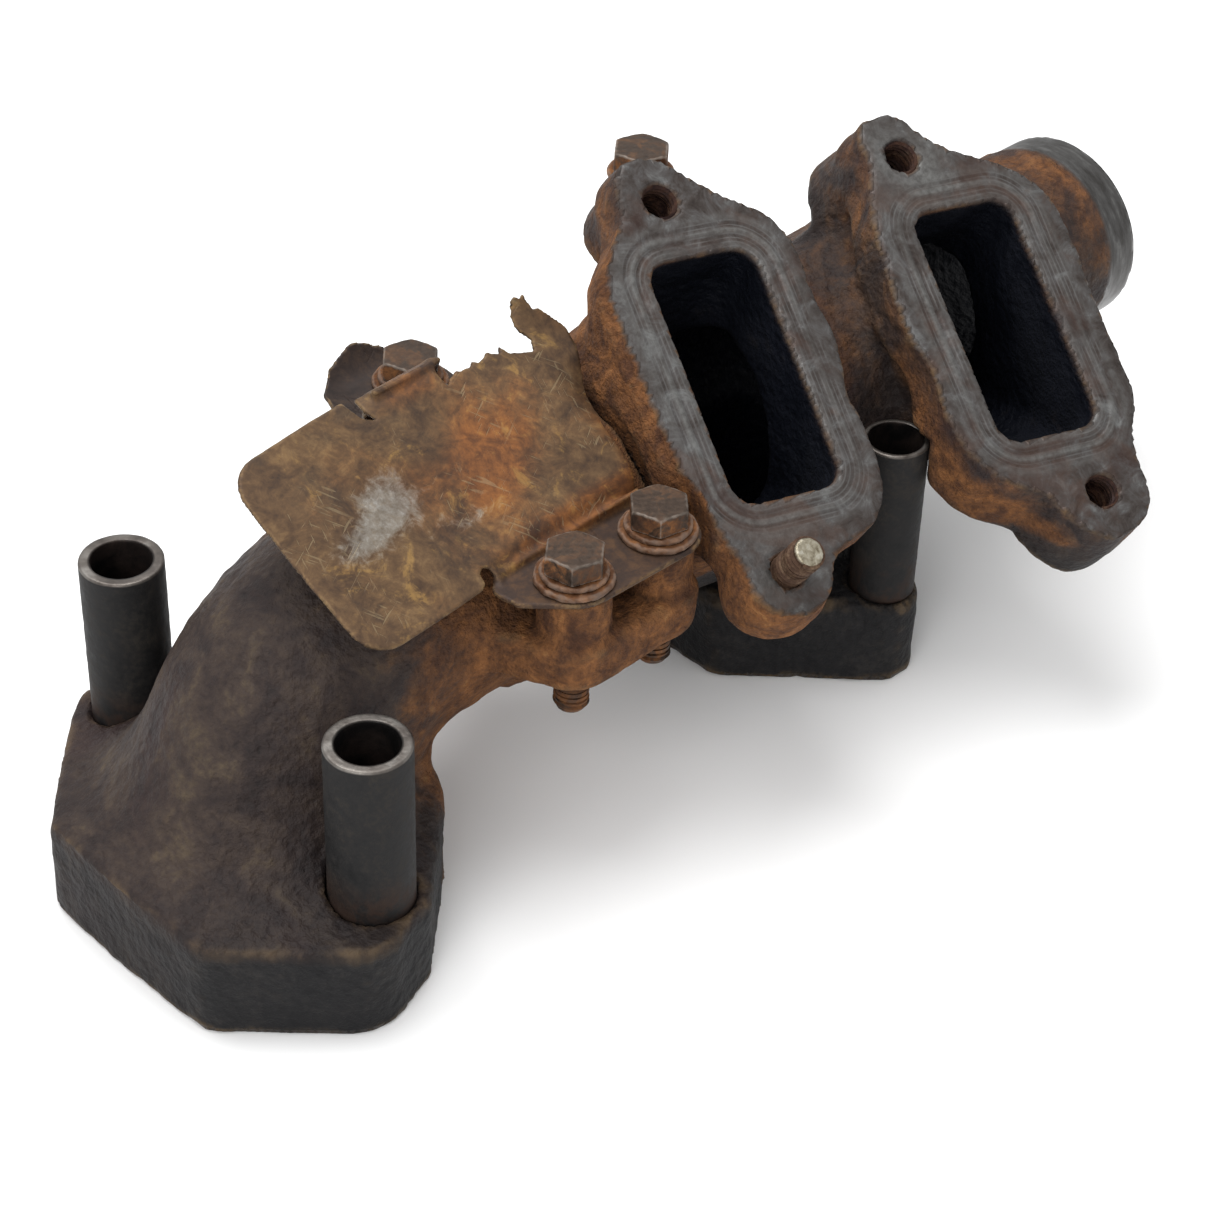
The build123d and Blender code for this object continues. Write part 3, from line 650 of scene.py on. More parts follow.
def shield_sheet():
    """Heat-tinted thin sheet: brown gold, orange blooms, a scoured patch and scratches."""
    p = Paint("shield_sheet")
    wide, cloud = p.noise(34, 5, 0.6, 0.7), p.noise(12, 8, 0.7, 1.0)
    grit = p.noise(1.6, 4, 0.65)
    speck = p.noise(4.2, 6, 0.7, 0.8)
    mixed = p.plus(p.times(cloud, 0.5), p.line(speck, 0.35, p.times(grit, 0.15)))
    brown = p.ramp(mixed, (0.34, 54, 42, 35), (0.44, 84, 63, 45), (0.53, 107, 82, 57),
                   (0.62, 132, 105, 73), (0.72, 168, 142, 106))
    orange = p.ramp(mixed, (0.34, 70, 44, 31), (0.46, 108, 68, 40), (0.56, 144, 92, 50),
                    (0.68, 182, 134, 70))
    warm = p.plus(p.times(p.worn("bloom"), 0.42), p.line(wide, 1.0, p.times(speck, 0.3)))
    colour = p.blend(p.step(warm, 0.56, 0.98), brown, orange)
    gold = p.times(p.step(p.noise(15, 7, 0.7, 1.2), 0.53, 0.64), p.step(speck, 0.42, 0.6))
    colour = p.blend(p.times(gold, 0.42), colour, (186, 146, 80))
    dark = p.step(p.noise(21, 7, 0.72, 0.8), 0.50, 0.64)
    burnt = p.ramp(speck, (0.4, 50, 40, 36), (0.6, 74, 60, 48))
    colour = p.blend(p.times(dark, 0.6), colour, burnt)
    ragged = p.line(speck, 1.7, p.line(cloud, 1.2, -1.45))
    scour = p.step(p.plus(p.worn("scour"), ragged), 0.38, 0.95)
    steel = p.ramp(grit, (0.3, 128, 120, 108), (0.55, 158, 154, 146), (0.75, 188, 188, 184))
    colour = p.blend(p.times(scour, 0.72), colour, steel)
    scratches = None
    for turn, size, limit in ((0.45, 0.6, 0.73), (-0.8, 0.75, 0.725), (1.35, 0.6, 0.735), (2.3, 0.8, 0.73)):
        lines = p.noise(size, 0, 0.4, 0.0, (0.022, 1.0, 0.3, 0.0, 0.0, turn))
        lines = p.step(lines, limit, limit + 0.05)
        scratches = lines if scratches is None else p.sum("MAXIMUM", scratches, lines)
    scratches = p.times(scratches, p.step(p.noise(17, 4, 0.6), 0.5, 0.64))
    colour = p.blend(p.times(scratches, 0.26), colour, (196, 176, 140))
    strap = p.ramp(mixed, (0.36, 44, 33, 30), (0.48, 66, 48, 38), (0.58, 92, 66, 46), (0.72, 128, 92, 58))
    colour = p.blend(p.worn("strap"), colour, strap)
    # painted shade: the plate's lower face and the far strap below the fold darkened
    under = p.ramp(mixed, (0.36, 38, 30, 28), (0.5, 58, 46, 41), (0.66, 86, 68, 54))
    colour = p.blend(p.worn("under"), colour, under)
    # painted highlight: convex edges lightened towards tan in speckled patches
    edge = p.times(p.step(p.worn("edge"), 0.2, 0.7), p.step(speck, 0.42, 0.6))
    colour = p.blend(p.times(edge, 0.35), colour, (170, 140, 96))
    rough = p.step(p.plus(mixed, p.times(scour, -0.2)), 0.2, 0.8, 0.42, 0.74)
    metal = p.plus(0.3, p.times(p.sum("MAXIMUM", scratches, scour), 0.3))
    height = p.plus(p.times(grit, 0.35), p.plus(p.times(cloud, 0.6), p.times(speck, 0.5)))
    return p.finish(colour, rough, metal, p.sum("SUBTRACT", height, scratches), 0.1, 0.3)


def sleeve_steel():
    """Blackened tubes, rusty low down, bright on the end face."""
    p = Paint("sleeve_steel")
    cloud, grit = p.noise(9, 5, 0.65, 0.5), p.noise(1.3, 4, 0.6)
    mixed = p.plus(p.times(cloud, 0.6), p.times(grit, 0.4))
    colour = p.ramp(mixed, (0.30, 28, 28, 29), (0.50, 43, 42, 42), (0.66, 60, 56, 52),
                    (0.80, 84, 70, 58))
    z = p.along("Z")
    low = p.times(p.step(z, 40, 26), p.step(cloud, 0.38, 0.6))
    colour = p.blend(p.times(low, 0.6), colour, (66, 46, 36))
    end = p.step(z, 68.3, 68.7)
    steel = p.ramp(p.noise(7, 4, 0.55, 0.2), (0.3, 84, 78, 74), (0.5, 112, 106, 101),
                   (0.7, 146, 142, 137))
    inside = p.worn("inside")
    colour = p.blend(p.times(end, p.sum("SUBTRACT", 1.0, inside)), colour, steel)
    # painted shade: the bore inside each tube darkened towards near black
    colour = p.blend(inside, colour, p.ramp(cloud, (0.4, 18, 16, 16), (0.7, 48, 38, 34)))
    metal = p.line(end, 0.6, 0.25)
    rough = p.sum("SUBTRACT", p.step(mixed, 0.3, 0.7, 0.52, 0.78), p.times(end, 0.22))
    return p.finish(colour, rough, metal, mixed, 0.22)


def fastener_steel(name, dark, bright, wear=0.5, crust=1.0):
    """Rusty hardware with worn corners."""
    p = Paint(name)
    cloud, grit = p.noise(6, 5, 0.65, 0.7), p.noise(1.1, 4, 0.6)
    mixed = p.plus(p.times(cloud, 0.6), p.times(grit, 0.4))
    rust = rust_colour(p, p.noise(5, 6, 0.65, 0.9), grit)
    plain = p.ramp(mixed, (0.3, *dark), (0.55, *bright), (0.75, 112, 98, 84))
    top = p.worn("cap")
    amount = p.sum("SUBTRACT", p.step(cloud, 0.38, 0.56), p.times(top, 0.75), clamp=True)
    colour = p.blend(p.times(amount, crust), plain, rust)
    edge = p.times(p.step(p.worn("edge"), 0.2, 0.8), p.step(cloud, 0.3, 0.55))
    colour = p.blend(p.times(edge, wear), colour, (168, 158, 148))
    metal = p.sum("SUBTRACT", 0.55, p.times(amount, 0.5))
    rough = p.step(p.plus(mixed, p.times(amount, 0.3)), 0.3, 0.95, 0.42, 0.85)
    return p.finish(colour, rough, metal, mixed, 0.28)


def ring_steel():
    """Ground split rings, sooted in their grooves."""
    p = Paint("ring_steel")
    cloud, grit = p.noise(5, 5, 0.6, 0.5), p.noise(0.9, 3, 0.6)
    turned = p.noise(2.2, 3, 0.5, 0.0, (6.0, 0.4, 0.4, 0, 0, 0))
    steel = p.ramp(p.plus(p.times(turned, 0.6), p.times(grit, 0.4)),
                   (0.3, 78, 74, 70), (0.55, 112, 108, 103), (0.75, 146, 143, 138))
    soot = p.step(cloud, 0.42, 0.6)
    sooted = p.ramp(grit, (0.3, 24, 22, 22), (0.7, 52, 42, 38))
    colour = p.blend(p.times(soot, 0.8), steel, sooted)
    metal = p.line(soot, -0.5, 0.75)
    return p.finish(colour, p.line(soot, 0.35, 0.38), metal, turned, 0.06, 0.3)


def stud_steel():
    """Rusty threads, bright sawn end."""
    p = Paint("stud_steel")
    cloud, grit = p.noise(4, 5, 0.65, 0.6), p.noise(0.8, 4, 0.6)
    colour = p.ramp(p.plus(p.times(cloud, 0.6), p.times(grit, 0.4)),
                    (0.3, 48, 34, 29), (0.52, 88, 66, 52), (0.72, 134, 112, 90))
    end = p.worn("cap")
    face = p.ramp(p.noise(1.4, 3, 0.6, 0.5), (0.3, 122, 112, 92), (0.55, 178, 170, 150),
                  (0.8, 214, 210, 196))
    colour = p.blend(end, colour, face)
    return p.finish(colour, p.line(end, -0.25, 0.6), p.line(end, 0.4, 0.4), grit, 0.15)


def mark(piece, name, values):
    """Paint one value per point on a mesh."""
    layer = piece.data.attributes.new(name, "FLOAT", "POINT")
    layer.data.foreach_set("value", np.ascontiguousarray(values, dtype=np.float32))


def spots(piece):
    """Points of a mesh in millimetres, one row each."""
    flat = np.empty(len(piece.data.vertices) * 3, np.float32)
    piece.data.vertices.foreach_get("co", flat)
    return flat.reshape(-1, 3).astype(float) / MM


def crispness(piece, reach):
    """How far each point stands out of (or sits in) its surroundings, about -1 to 1."""
    points = spots(piece)
    normals = np.empty(points.size, np.float32)
    piece.data.vertex_normals.foreach_get("vector", normals)
    normals = normals.reshape(-1, 3)
    ends = np.empty(len(piece.data.edges) * 2, np.int32)
    piece.data.edges.foreach_get("vertices", ends)
    a, b = ends[::2], ends[1::2]
    count = np.bincount(ends, minlength=len(points)).astype(float)
    mean = points.copy()
    for _ in range(3):
        total = np.zeros_like(points)
        for axis in range(3):
            total[:, axis] = (np.bincount(a, mean[b, axis], len(points))
                              + np.bincount(b, mean[a, axis], len(points)))
        mean = total / count[:, None]
    return np.clip(((points - mean) * normals).sum(1) / reach, -1, 1)

# ---------------------------------------------------------------- castings
def adopt(piece, body, slot, material, *nodes):
    """Hand a finished piece to the frame."""
    piece.data.materials.clear()
    piece.data.materials.append(material)
    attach(piece, body)
    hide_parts(*nodes)


def groove(d, at, width):
    """Rounded bump of height 1 at a distance."""
    return np.clip(1 - ((d - at) / width) ** 2, 0, 1)


def split_zone(piece, wanted, cuts=2):
    """Finer quads where a small feature needs them."""
    bm = bmesh.new()
    bm.from_mesh(piece.data)
    faces = [f for f in bm.faces if wanted(f.calc_center_median() / MM)]
    edges = {e for f in faces for e in f.edges}
    bmesh.ops.subdivide_edges(bm, edges=list(edges), cuts=cuts, use_grid_fill=True)
    bmesh.ops.triangulate(bm, faces=[f for f in bm.faces if len(f.verts) > 4])
    bm.to_mesh(piece.data)
    bm.free()
    piece.data.shade_smooth()


iron = cast_iron()
elbow = mesh_from("front_elbow", *skin_over(front_casting, (-44, -62, 0), (102, 62, 93), GRAIN))
x, y, z = spots(elbow).T
inside = rise(0.9 - elbow_gas(x, y, z), 0, 0.5) * rise(z, 0.5, 3)
lug = np.maximum(rise(x, 38, 66) * rise(z, 26, 50), 0.66 * rise(x, 4, 50))
mark(elbow, "rust", 0.05 + 1.2 * lug - 0.35 * rise(30 - z, 0, 14))
near_side = rise(-y - 20, 0, 20) * rise(60 - x, 0, 30) * rise(50 - z, 0, 20)
# darker below the top of the front foot, and low down on the near side
mark(elbow, "darkened_low", 0.75 * rise(26 - z, 0, 6) + 0.35 * near_side)
mark(elbow, "soot", inside)
socket = rise(27 - np.hypot(y, z - JOINT_Z), 0, 0.8) * rise(x, 72, 74)
mark(elbow, "bare", np.maximum(rise(1.0 - z, 0, 0.8), socket) * (1 - inside))
mark(elbow, "turned", np.zeros(len(x)))
mark(elbow, "ridge", np.zeros(len(x)))
mark(elbow, "gap", np.full(len(x), 20.0))
mark(elbow, "edge", crispness(elbow, 0.8))

log_piece = mesh_from("centre_body", *skin_over(centre_casting, (74, -104, 0), (290, 62, 132), 1.08 * GRAIN))


def opening_gap(x, y, z):
    """Distance outside the nearer outlet opening, and height over the faces."""
    best = None
    for centre in (FRONT_AT, REAR_AT):
        u, v, h = face_uvh(centre, x, y, z)
        d = box_plan(u, v, OPENING_U, OPENING_V, OPENING_CORNER)
        best = d if best is None else np.minimum(best, d)
    return best, h


def on_ridges(c):
    """Whether a spot lies on the fine turned ridges round an opening."""
    d, h = opening_gap(*c)
    return h > -0.4 and 2.1 < d < 8.3


split_zone(log_piece, on_ridges)
points = spots(log_piece)
d, h = opening_gap(*points.T)
flat = rise(h, -0.5, -0.1) * rise(d, -0.4, 0.4)
worn_away = 0.55 + 0.45 * lumps(*points.T, 14, 3)
cutting = 0.42 * groove(d, 3.6, 0.8) + 0.34 * groove(d, 6.6, 0.9) - 0.08 * groove(d, 5.1, 0.8)
points = points - (flat * (cutting * worn_away))[:, None] * OUT
log_piece.data.vertices.foreach_set("co", (points * MM).ravel())
log_piece.data.update()
x, y, z = points.T
inside = rise(0.9 - log_gas(x, y, z), 0, 0.5) * rise(-h, 0.2, 2.6) * rise(z, 0.5, 3) * rise(287.5 - x, 0, 4)
inside = inside * rise(x, 76.5, 79)
mark(log_piece, "soot", inside)
face = rise(h, -0.75, -0.35)
mark(log_piece, "gap", np.where(h > -1, np.clip(d, 0, 20), 20))
mark(log_piece, "bare", np.maximum(face, rise(1.0 - z, 0, 0.8)) * (1 - inside))
end_band = rise(x, 276.6, 277.2) * rise(np.hypot(y, z - END_Z), 24, 25)
joint_r = np.hypot(y, z - JOINT_Z)
joint_band = rise(107 - x, 0, 2) * rise(27 - joint_r, 0, 0.8) * rise(joint_r, 20, 21)
mark(log_piece, "turned", np.maximum(end_band, joint_band) * (1 - inside))
rings = (0.75 * groove(d, 5.1, 1.0) + 0.5 * groove(d, 1.2, 1.2) + 0.4 * groove(d, 8.6, 1.3)) * worn_away
u, v, _ = face_uvh(REAR_AT, x, y, z)
rubbed = 1.05 * np.exp(-((u - REAR_UP[0]) / 11) ** 2 - ((v - REAR_UP[1]) / 10) ** 2)
u, v, _ = face_uvh(FRONT_AT, x, y, z)
rubbed = rubbed + 0.25 * np.exp(-((u + 23) / 4) ** 2 - ((v + 14) / 16) ** 2)
rubbed = rubbed + 0.4 * np.exp(-((u - FRONT_DOWN[0]) / 12) ** 2 - ((v - FRONT_DOWN[1]) / 10) ** 2)
mark(log_piece, "ridge", face * np.clip(rings + rubbed * (0.7 + 0.6 * lumps(x, y, z, 7, 4)), 0, 0.9))
foot_dark = rise(54 - z, 0, 12)
under_lip = rise(-h, 3, 12) * rise(34 + h, 0, 16) * rise(-25 - y, 0, 30)
leak = np.exp(-((x - 108) / 22) ** 2)
rusty = 0.34 + 0.42 * under_lip + 0.55 * leak + 0.15 * rise(x, 236, 250) - 1.5 * foot_dark
mark(log_piece, "rust", rusty)
# darker towards the bottom, a little less so above 20 mm
mark(log_piece, "darkened_low", foot_dark * (1 - 0.2 * rise(z, 20, 40)))
mark(log_piece, "edge", crispness(log_piece, 0.8))
adopt(elbow, "front", "casting_dark", iron, "front_elbow_casting")
adopt(log_piece, "centre", "casting_rust", iron, "centre_casting")


# ---------------------------------------------------------------- heat shield
def shield_axes():
    """Along, up the slope of and out of the shield's top plate."""
    along = np.array((1, 0.05, 0.05))
    along /= np.linalg.norm(along)
    up = np.array((0, math.cos(math.radians(31)), math.sin(math.radians(31))))
    up -= along * (up @ along)
    up /= np.linalg.norm(up)
    return along, up, np.cross(along, up)


SHIELD_AT = np.array((70.0, -28.5, 81.8))
SHIELD_AXES = shield_axes()
WALL_OUT = np.array((0, 29.2, 18.3)) / math.hypot(29.2, 18.3)


def bend(cx, cy, radius, start, end):
    return [(cx + radius * math.cos(math.radians(a)), cy + radius * math.sin(math.radians(a)))
            for a in np.linspace(start, end, 7)]


sheet_plan = Outline(np.array(
    bend(-51.3, 6.9, 8.6, 180, 270)
    + [(-26, -1.6), (-24.6, -0.6), (-24.2, 1.6), (-22.6, 2.8), (-20.9, 2.0), (-20.3, -0.4), (-20, -3.2),
       (25, -3.4), (27.2, 4), (28, 15), (30.6, 22), (34.4, 28.6), (36.8, 34.8), (37.6, 39.6),
       (36.5, 43.3), (35, 44.9), (34.2, 46.6), (32.4, 47.6), (31.8, 50.1), (30.4, 49.9), (29.6, 51.2),
       (28.1, 50.6), (27, 48.8), (26.3, 46.2), (27.3, 43.6), (28, 41.2), (26.6, 38.8), (23.6, 40),
       (20.6, 42.2), (19.6, 44.6), (18.7, 42.9), (14.4, 44.6), (12.2, 43.8), (10.6, 45), (9.2, 43.5),
       (5.4, 44.2), (3.4, 43.2), (1.2, 42.2), (0.9, 46), (2, 50.2),
       (-19.6, 51.4), (-20.6, 47.5), (-19.2, 43.6), (-22.6, 46.4), (-24, 51.8)]
    + bend(-50.6, 42.4, 9.2, 90, 180)))
far_strap = Outline(round_hull([
    (*FAR_BOLT, 11), (68, 49, 2), (74, 54.4, 2), (82, 56.4, 2), (88, 54, 2.5), (62, 31, 1), (96, 31, 1)]))
wall_plan = Outline(np.array([(-10, -1.5), (10.5, -1.5), (15, 12), (36, 34.6), (3, 34.6), (-6, 14)], float))


def shield_uvw(x, y, z):
    dx, dy, dz = x - SHIELD_AT[0], y - SHIELD_AT[1], z - SHIELD_AT[2]
    return tuple(dx * a[0] + dy * a[1] + dz * a[2] for a in SHIELD_AXES)


def sheet_lift(u, v):
    """How far the top plate is bent away from its plane."""
    lift = 0.5 * np.sin(u / 13) * np.sin(v / 16 + 0.6) + 0.35 * np.sin(u / 5.1 + v / 6.3)
    lift = lift - 0.085 * np.clip(4.5 - v, 0, 9) ** 2 * rise(u, -23, -18)
    lift = lift - 0.05 * np.clip(v - 45, 0, 9) ** 2 * rise(u, -25, -20) * rise(3 - u, 0, 4)
    lift = lift - 0.035 * np.clip(u - 23, 0, 12) ** 2 * rise(34 - v, 0, 12)
    return lift + 0.02 * np.clip(v - 38, 0, 16) ** 2 * rise(u, 24, 30)


def shield_shape(x, y, z):
    """Top plate, near riser and strap, far wall and strap of one bent sheet."""
    u, v, w = shield_uvw(x, y, z)
    ragged = 0.9 * lumps(u, v, 0 * w, 3.4, 6) + 0.5 * lumps(u, v, 0 * w, 1.3, 8)
    ragged = ragged * rise(v, 37, 43) * rise(u, 1, 3)
    half = SHEET_T / 2
    plate = both(sheet_plan(u, v + ragged), np.abs(w - half - sheet_lift(u, v)) - half, 0.35)
    sag = 0.35 * np.sin(x / 7) * np.sin(y / 6)
    strap = both(near_strap(x, y), np.abs(z - STRAP_Z - half) - half, 0.35)
    span = np.maximum(slab(x, 50.5, 94.5), slab(z, STRAP_Z, 81.4 + 0.05 * (x - 70)))
    riser = both(np.abs(y + 29.2) - half, span, 0.3)
    skin = melt(melt(plate, riser, 2.2), strap, 2.2)
    a, b = x - 60, (y - 13.6) * WALL_OUT[2] - (z - 107.6) * WALL_OUT[1]
    depth = (y - 13.6) * WALL_OUT[1] + (z - 107.6) * WALL_OUT[2]
    wall = both(wall_plan(a, b), np.abs(depth + half + sag) - half, 0.3)
    beyond, beside = np.clip(y - 49.5, 0, 10), np.clip(75 - x, 0, 10)
    curl = 0.08 * beyond ** 2 + 0.03 * beside ** 2 * rise(y, 38, 52)
    leaning = np.hypot(1, np.hypot(0.16 * beyond, 0.06 * beside))
    far = both(far_strap(x, y), np.abs(z - STRAP_Z - half - curl) / leaning - half, 0.35)
    return melt(melt(skin, wall, 2.0), far, 2.2)


shield = mesh_from("shield", *skin_over(shield_shape, (8, -53, 76.5), (111, 58, 119),
                                        0.6))
x, y, z = spots(shield).T
u, v, w = shield_uvw(x, y, z)


def patch(cu, cv, ru, rv):
    """Soft round spot on the shield."""
    return np.exp(-((u - cu) / ru) ** 2 - ((v - cv) / rv) ** 2)


on_top = rise(w - SHEET_T / 2 - sheet_lift(u, v), -0.2, 0.3)
mark(shield, "scour", 0.95 * patch(-31, 27, 10, 8) + 0.75 * patch(-44, 22, 9, 5)
     + 0.55 * patch(-20, 14, 10, 3))
blooms = (1.15 * patch(-4, 21, 19, 13) + 1.5 * patch(12, 0.5, 26, 4.5) + patch(-9, 48, 9, 5)
          + 0.7 * patch(29, 12, 5, 14))
mark(shield, "bloom", np.clip(blooms - 0.3, -0.4, 1))
near = rise(-28.4 - y, 0, 1.2) * rise(80.2 - z, 0, 0.8)
mark(shield, "strap", np.clip(0.95 * near + 0.6 * patch(2, -4.4, 26, 1.8), 0, 1))
# painted shade: the plate's lower face, and the far strap and wall foot below the fold
shaded_underside = (1 - on_top) * (1 - near) * rise(z, 79.4, 80.5)
mark(shield, "under", np.maximum(shaded_underside, rise(y, 33, 35) * rise(90 - z, 0, 6)))
mark(shield, "edge", crispness(shield, 0.5))
adopt(shield, "front", "shield_sheet", shield_sheet(), "heat_shield")


# ---------------------------------------------------------------- hardware by geometry nodes
class Grower:
    """A Geometry Nodes tree with named sizes, run on a few points."""

    kinds = {float: "NodeSocketFloat", int: "NodeSocketInt", tuple: "NodeSocketVector"}

    def __init__(self, name, **sizes):
        self.tree = bpy.data.node_groups.new(name, "GeometryNodeTree")
        self.sizes = sizes
        face = self.tree.interface
        face.new_socket("Geometry", in_out="INPUT", socket_type="NodeSocketGeometry")
        face.new_socket("Geometry", in_out="OUTPUT", socket_type="NodeSocketGeometry")
        kinds = {label: "NodeSocketObject" if value is None else self.kinds[type(value)]
                 for label, value in sizes.items()}
        self.keys = {}
        for label, kind in {"Finish": "NodeSocketMaterial", **kinds}.items():
            self.keys[label] = face.new_socket(label, in_out="INPUT", socket_type=kind).identifier
        self.given = self.tree.nodes.new("NodeGroupInput").outputs

    def add(self, kind, out=0, settings=None, **inputs):
        node = self.tree.nodes.new(kind)
        for key, value in (settings or {}).items():
            setattr(node, key, value)
        for key, value in inputs.items():
            socket = node.inputs[key.replace("_", " ")]
            for item in value if isinstance(value, list) else [value]:
                if isinstance(item, bpy.types.NodeSocket):
                    self.tree.links.new(item, socket)
                else:
                    socket.default_value = item
        return node.outputs[out]

    def sum(self, kind, a, b=0.0):
        node = self.tree.nodes.new("ShaderNodeMath")
        node.operation = kind
        for socket, value in zip(node.inputs, (a, b)):
            if isinstance(value, bpy.types.NodeSocket):
                self.tree.links.new(value, socket)
            else:
                socket.default_value = value
        return node.outputs[0]

    def close(self, piece, smooth=True):
        """Place the piece on every point, make it real and give it its finish."""
        placed = self.add("GeometryNodeInstanceOnPoints", Points=self.given["Geometry"], Instance=piece)
        whole = self.add("GeometryNodeRealizeInstances", Geometry=placed)
        if "Waviness" in self.sizes:
            place = self.add("GeometryNodeInputPosition")
            node = self.tree.nodes.new("ShaderNodeTexNoise")
            self.tree.links.new(place, node.inputs["Vector"])
            node.inputs["Scale"].default_value = 330.0
            shift = self.tree.nodes.new("ShaderNodeVectorMath")
            shift.operation = "SUBTRACT"
            self.tree.links.new(node.outputs["Color"], shift.inputs[0])
            shift.inputs[1].default_value = (0.5, 0.5, 0.5)
            scaled = self.tree.nodes.new("ShaderNodeVectorMath")
            scaled.operation = "SCALE"
            self.tree.links.new(shift.outputs[0], scaled.inputs[0])
            self.tree.links.new(self.given["Waviness"], scaled.inputs["Scale"])
            whole = self.add("GeometryNodeSetPosition", Geometry=whole, Offset=scaled.outputs[0])
        whole = self.add("GeometryNodeSetShadeSmooth", Geometry=whole, Shade_Smooth=smooth)
        whole = self.add("GeometryNodeSetMaterial", Geometry=whole, Material=self.given["Finish"])
        end = self.tree.nodes.new("NodeGroupOutput")
        self.tree.links.new(whole, end.inputs[0])
        return self

    def grow(self, name, places, finish, **sizes):
        """Run the tree on points given in millimetres and keep a plain mesh."""
        seed = mesh_from(name + "_seed", np.array(places, float), [])
        modifier = seed.modifiers.new("grow", "NODES")
        modifier.node_group = self.tree
        for label, value in {**self.sizes, **sizes, "Finish": finish}.items():
            modifier[self.keys[label]] = value
        graph = bpy.context.evaluated_depsgraph_get()
        graph.update()
        mesh = bpy.data.meshes.new_from_object(seed.evaluated_get(graph), depsgraph=graph)
        seed.modifiers.clear()
        bpy.data.objects.remove(seed)
        mesh.name = name
        piece = bpy.data.objects.new(name, mesh)
        bpy.context.scene.collection.objects.link(piece)
        return piece


def turned_ring():
    """Washers and sleeves: a rounded rectangle carried round a circle, standing on its point."""
    g = Grower("turned_ring", Outer=0.0094, Bore=0.0046, Height=0.0016, Rounding=0.0004, Spacing=0.0005,
               Waviness=0.0)
    middle = g.sum("MULTIPLY", g.sum("ADD", g.given["Outer"], g.given["Bore"]), 0.5)
    width = g.sum("SUBTRACT", g.given["Outer"], g.given["Bore"])
    circle = g.add("GeometryNodeCurvePrimitiveCircle", Resolution=72, Radius=middle)
    section = g.add("GeometryNodeCurvePrimitiveQuadrilateral", Width=width, Height=g.given["Height"])
    section = g.add("GeometryNodeFilletCurve", settings={"mode": "POLY"}, Curve=section, Count=3,
                    Radius=g.given["Rounding"])
    section = g.add("GeometryNodeResampleCurve", settings={"mode": "LENGTH"}, Curve=section,
                    Length=g.given["Spacing"])
    ring = g.add("GeometryNodeCurveToMesh", Curve=circle, Profile_Curve=section)
    half = g.tree.nodes.new("ShaderNodeCombineXYZ")
    g.tree.links.new(g.sum("MULTIPLY", g.given["Height"], 0.5), half.inputs[2])
    return g.close(g.add("GeometryNodeTransform", Geometry=ring, Translation=half.outputs[0]))


def thread():
    """Screw thread wound downwards from its point."""
    g = Grower("thread", Radius=0.0037, Pitch=0.00125, Length=0.02, Depth=0.0006, Lean=(0.0, 0.0, 0.0))
    turns = g.sum("DIVIDE", g.given["Length"], g.given["Pitch"])
    radius = g.given["Radius"]
    helix = g.add("GeometryNodeCurveSpiral", Resolution=28, Rotations=turns, Start_Radius=radius,
                  End_Radius=radius, Height=g.given["Length"])
    tooth = g.add("GeometryNodeCurvePrimitiveCircle", Resolution=4, Radius=g.given["Depth"])
    ridge = g.add("GeometryNodeCurveToMesh", Curve=helix, Profile_Curve=tooth, Fill_Caps=True)
    down = g.tree.nodes.new("ShaderNodeCombineXYZ")
    g.tree.links.new(g.sum("MULTIPLY", g.given["Length"], -1.0), down.inputs[2])
    ridge = g.add("GeometryNodeTransform", Geometry=ridge, Translation=down.outputs[0])
    return g.close(g.add("GeometryNodeTransform", Geometry=ridge, Rotation=g.given["Lean"]), smooth=False)


def set_bolts():
    """One finished bolt on every point, each turned a little differently."""
    g = Grower("set_bolts", Bolt=None, Turn=0.1, Seed=3)
    shape = g.add("GeometryNodeObjectInfo", out="Geometry", Object=g.given["Bolt"])
    placed = g.tree.nodes.new("FunctionNodeRandomValue")
    placed.data_type = "FLOAT_VECTOR"
    for low, sign in ((0, -1), (1, 1)):
        turn = g.tree.nodes.new("ShaderNodeCombineXYZ")
        g.tree.links.new(g.sum("MULTIPLY", g.given["Turn"], sign), turn.inputs[2])
        g.tree.links.new(turn.outputs[0], placed.inputs[low])
    g.tree.links.new(g.given["Seed"], placed.inputs["Seed"])
    node = g.tree.nodes.new("GeometryNodeInstanceOnPoints")
    g.tree.links.new(g.given["Geometry"], node.inputs["Points"])
    g.tree.links.new(shape, node.inputs["Instance"])
    g.tree.links.new(placed.outputs[0], node.inputs["Rotation"])
    whole = g.add("GeometryNodeRealizeInstances", Geometry=node.outputs[0])
    whole = g.add("GeometryNodeSetMaterial", Geometry=whole, Material=g.given["Finish"])
    g.tree.links.new(whole, g.tree.nodes.new("NodeGroupOutput").inputs[0])
    return g


def bolt_shape(length, head_t):
    """Hexagon bolt hanging from z = 0, with its worn head above."""
    def shape(x, y, z):
        flats = np.maximum.reduce([np.abs(x * math.cos(a) + y * math.sin(a)) - 6.5
                                   for a in (math.radians(15 + 60 * i) for i in range(3))])
        cone = (np.hypot(x, y) + 1.7 * (z - head_t) - 6.7) * 0.5
        head = both(both(flats, cone, 0.35), slab(z, 0, head_t), 0.35)
        head = head + 0.05 * np.sin(x * 1.9 + z) * np.sin(y * 2.3)
        shank = both(np.hypot(x, y) - np.where(z < -16, THREAD_CORE_R, 3.95), slab(z, -length, 1), 0.3)
        shank = both(shank, (np.hypot(x, y) - z - length - 2.9) * 0.7, 0.2)
        return np.minimum(head, shank)
    return shape


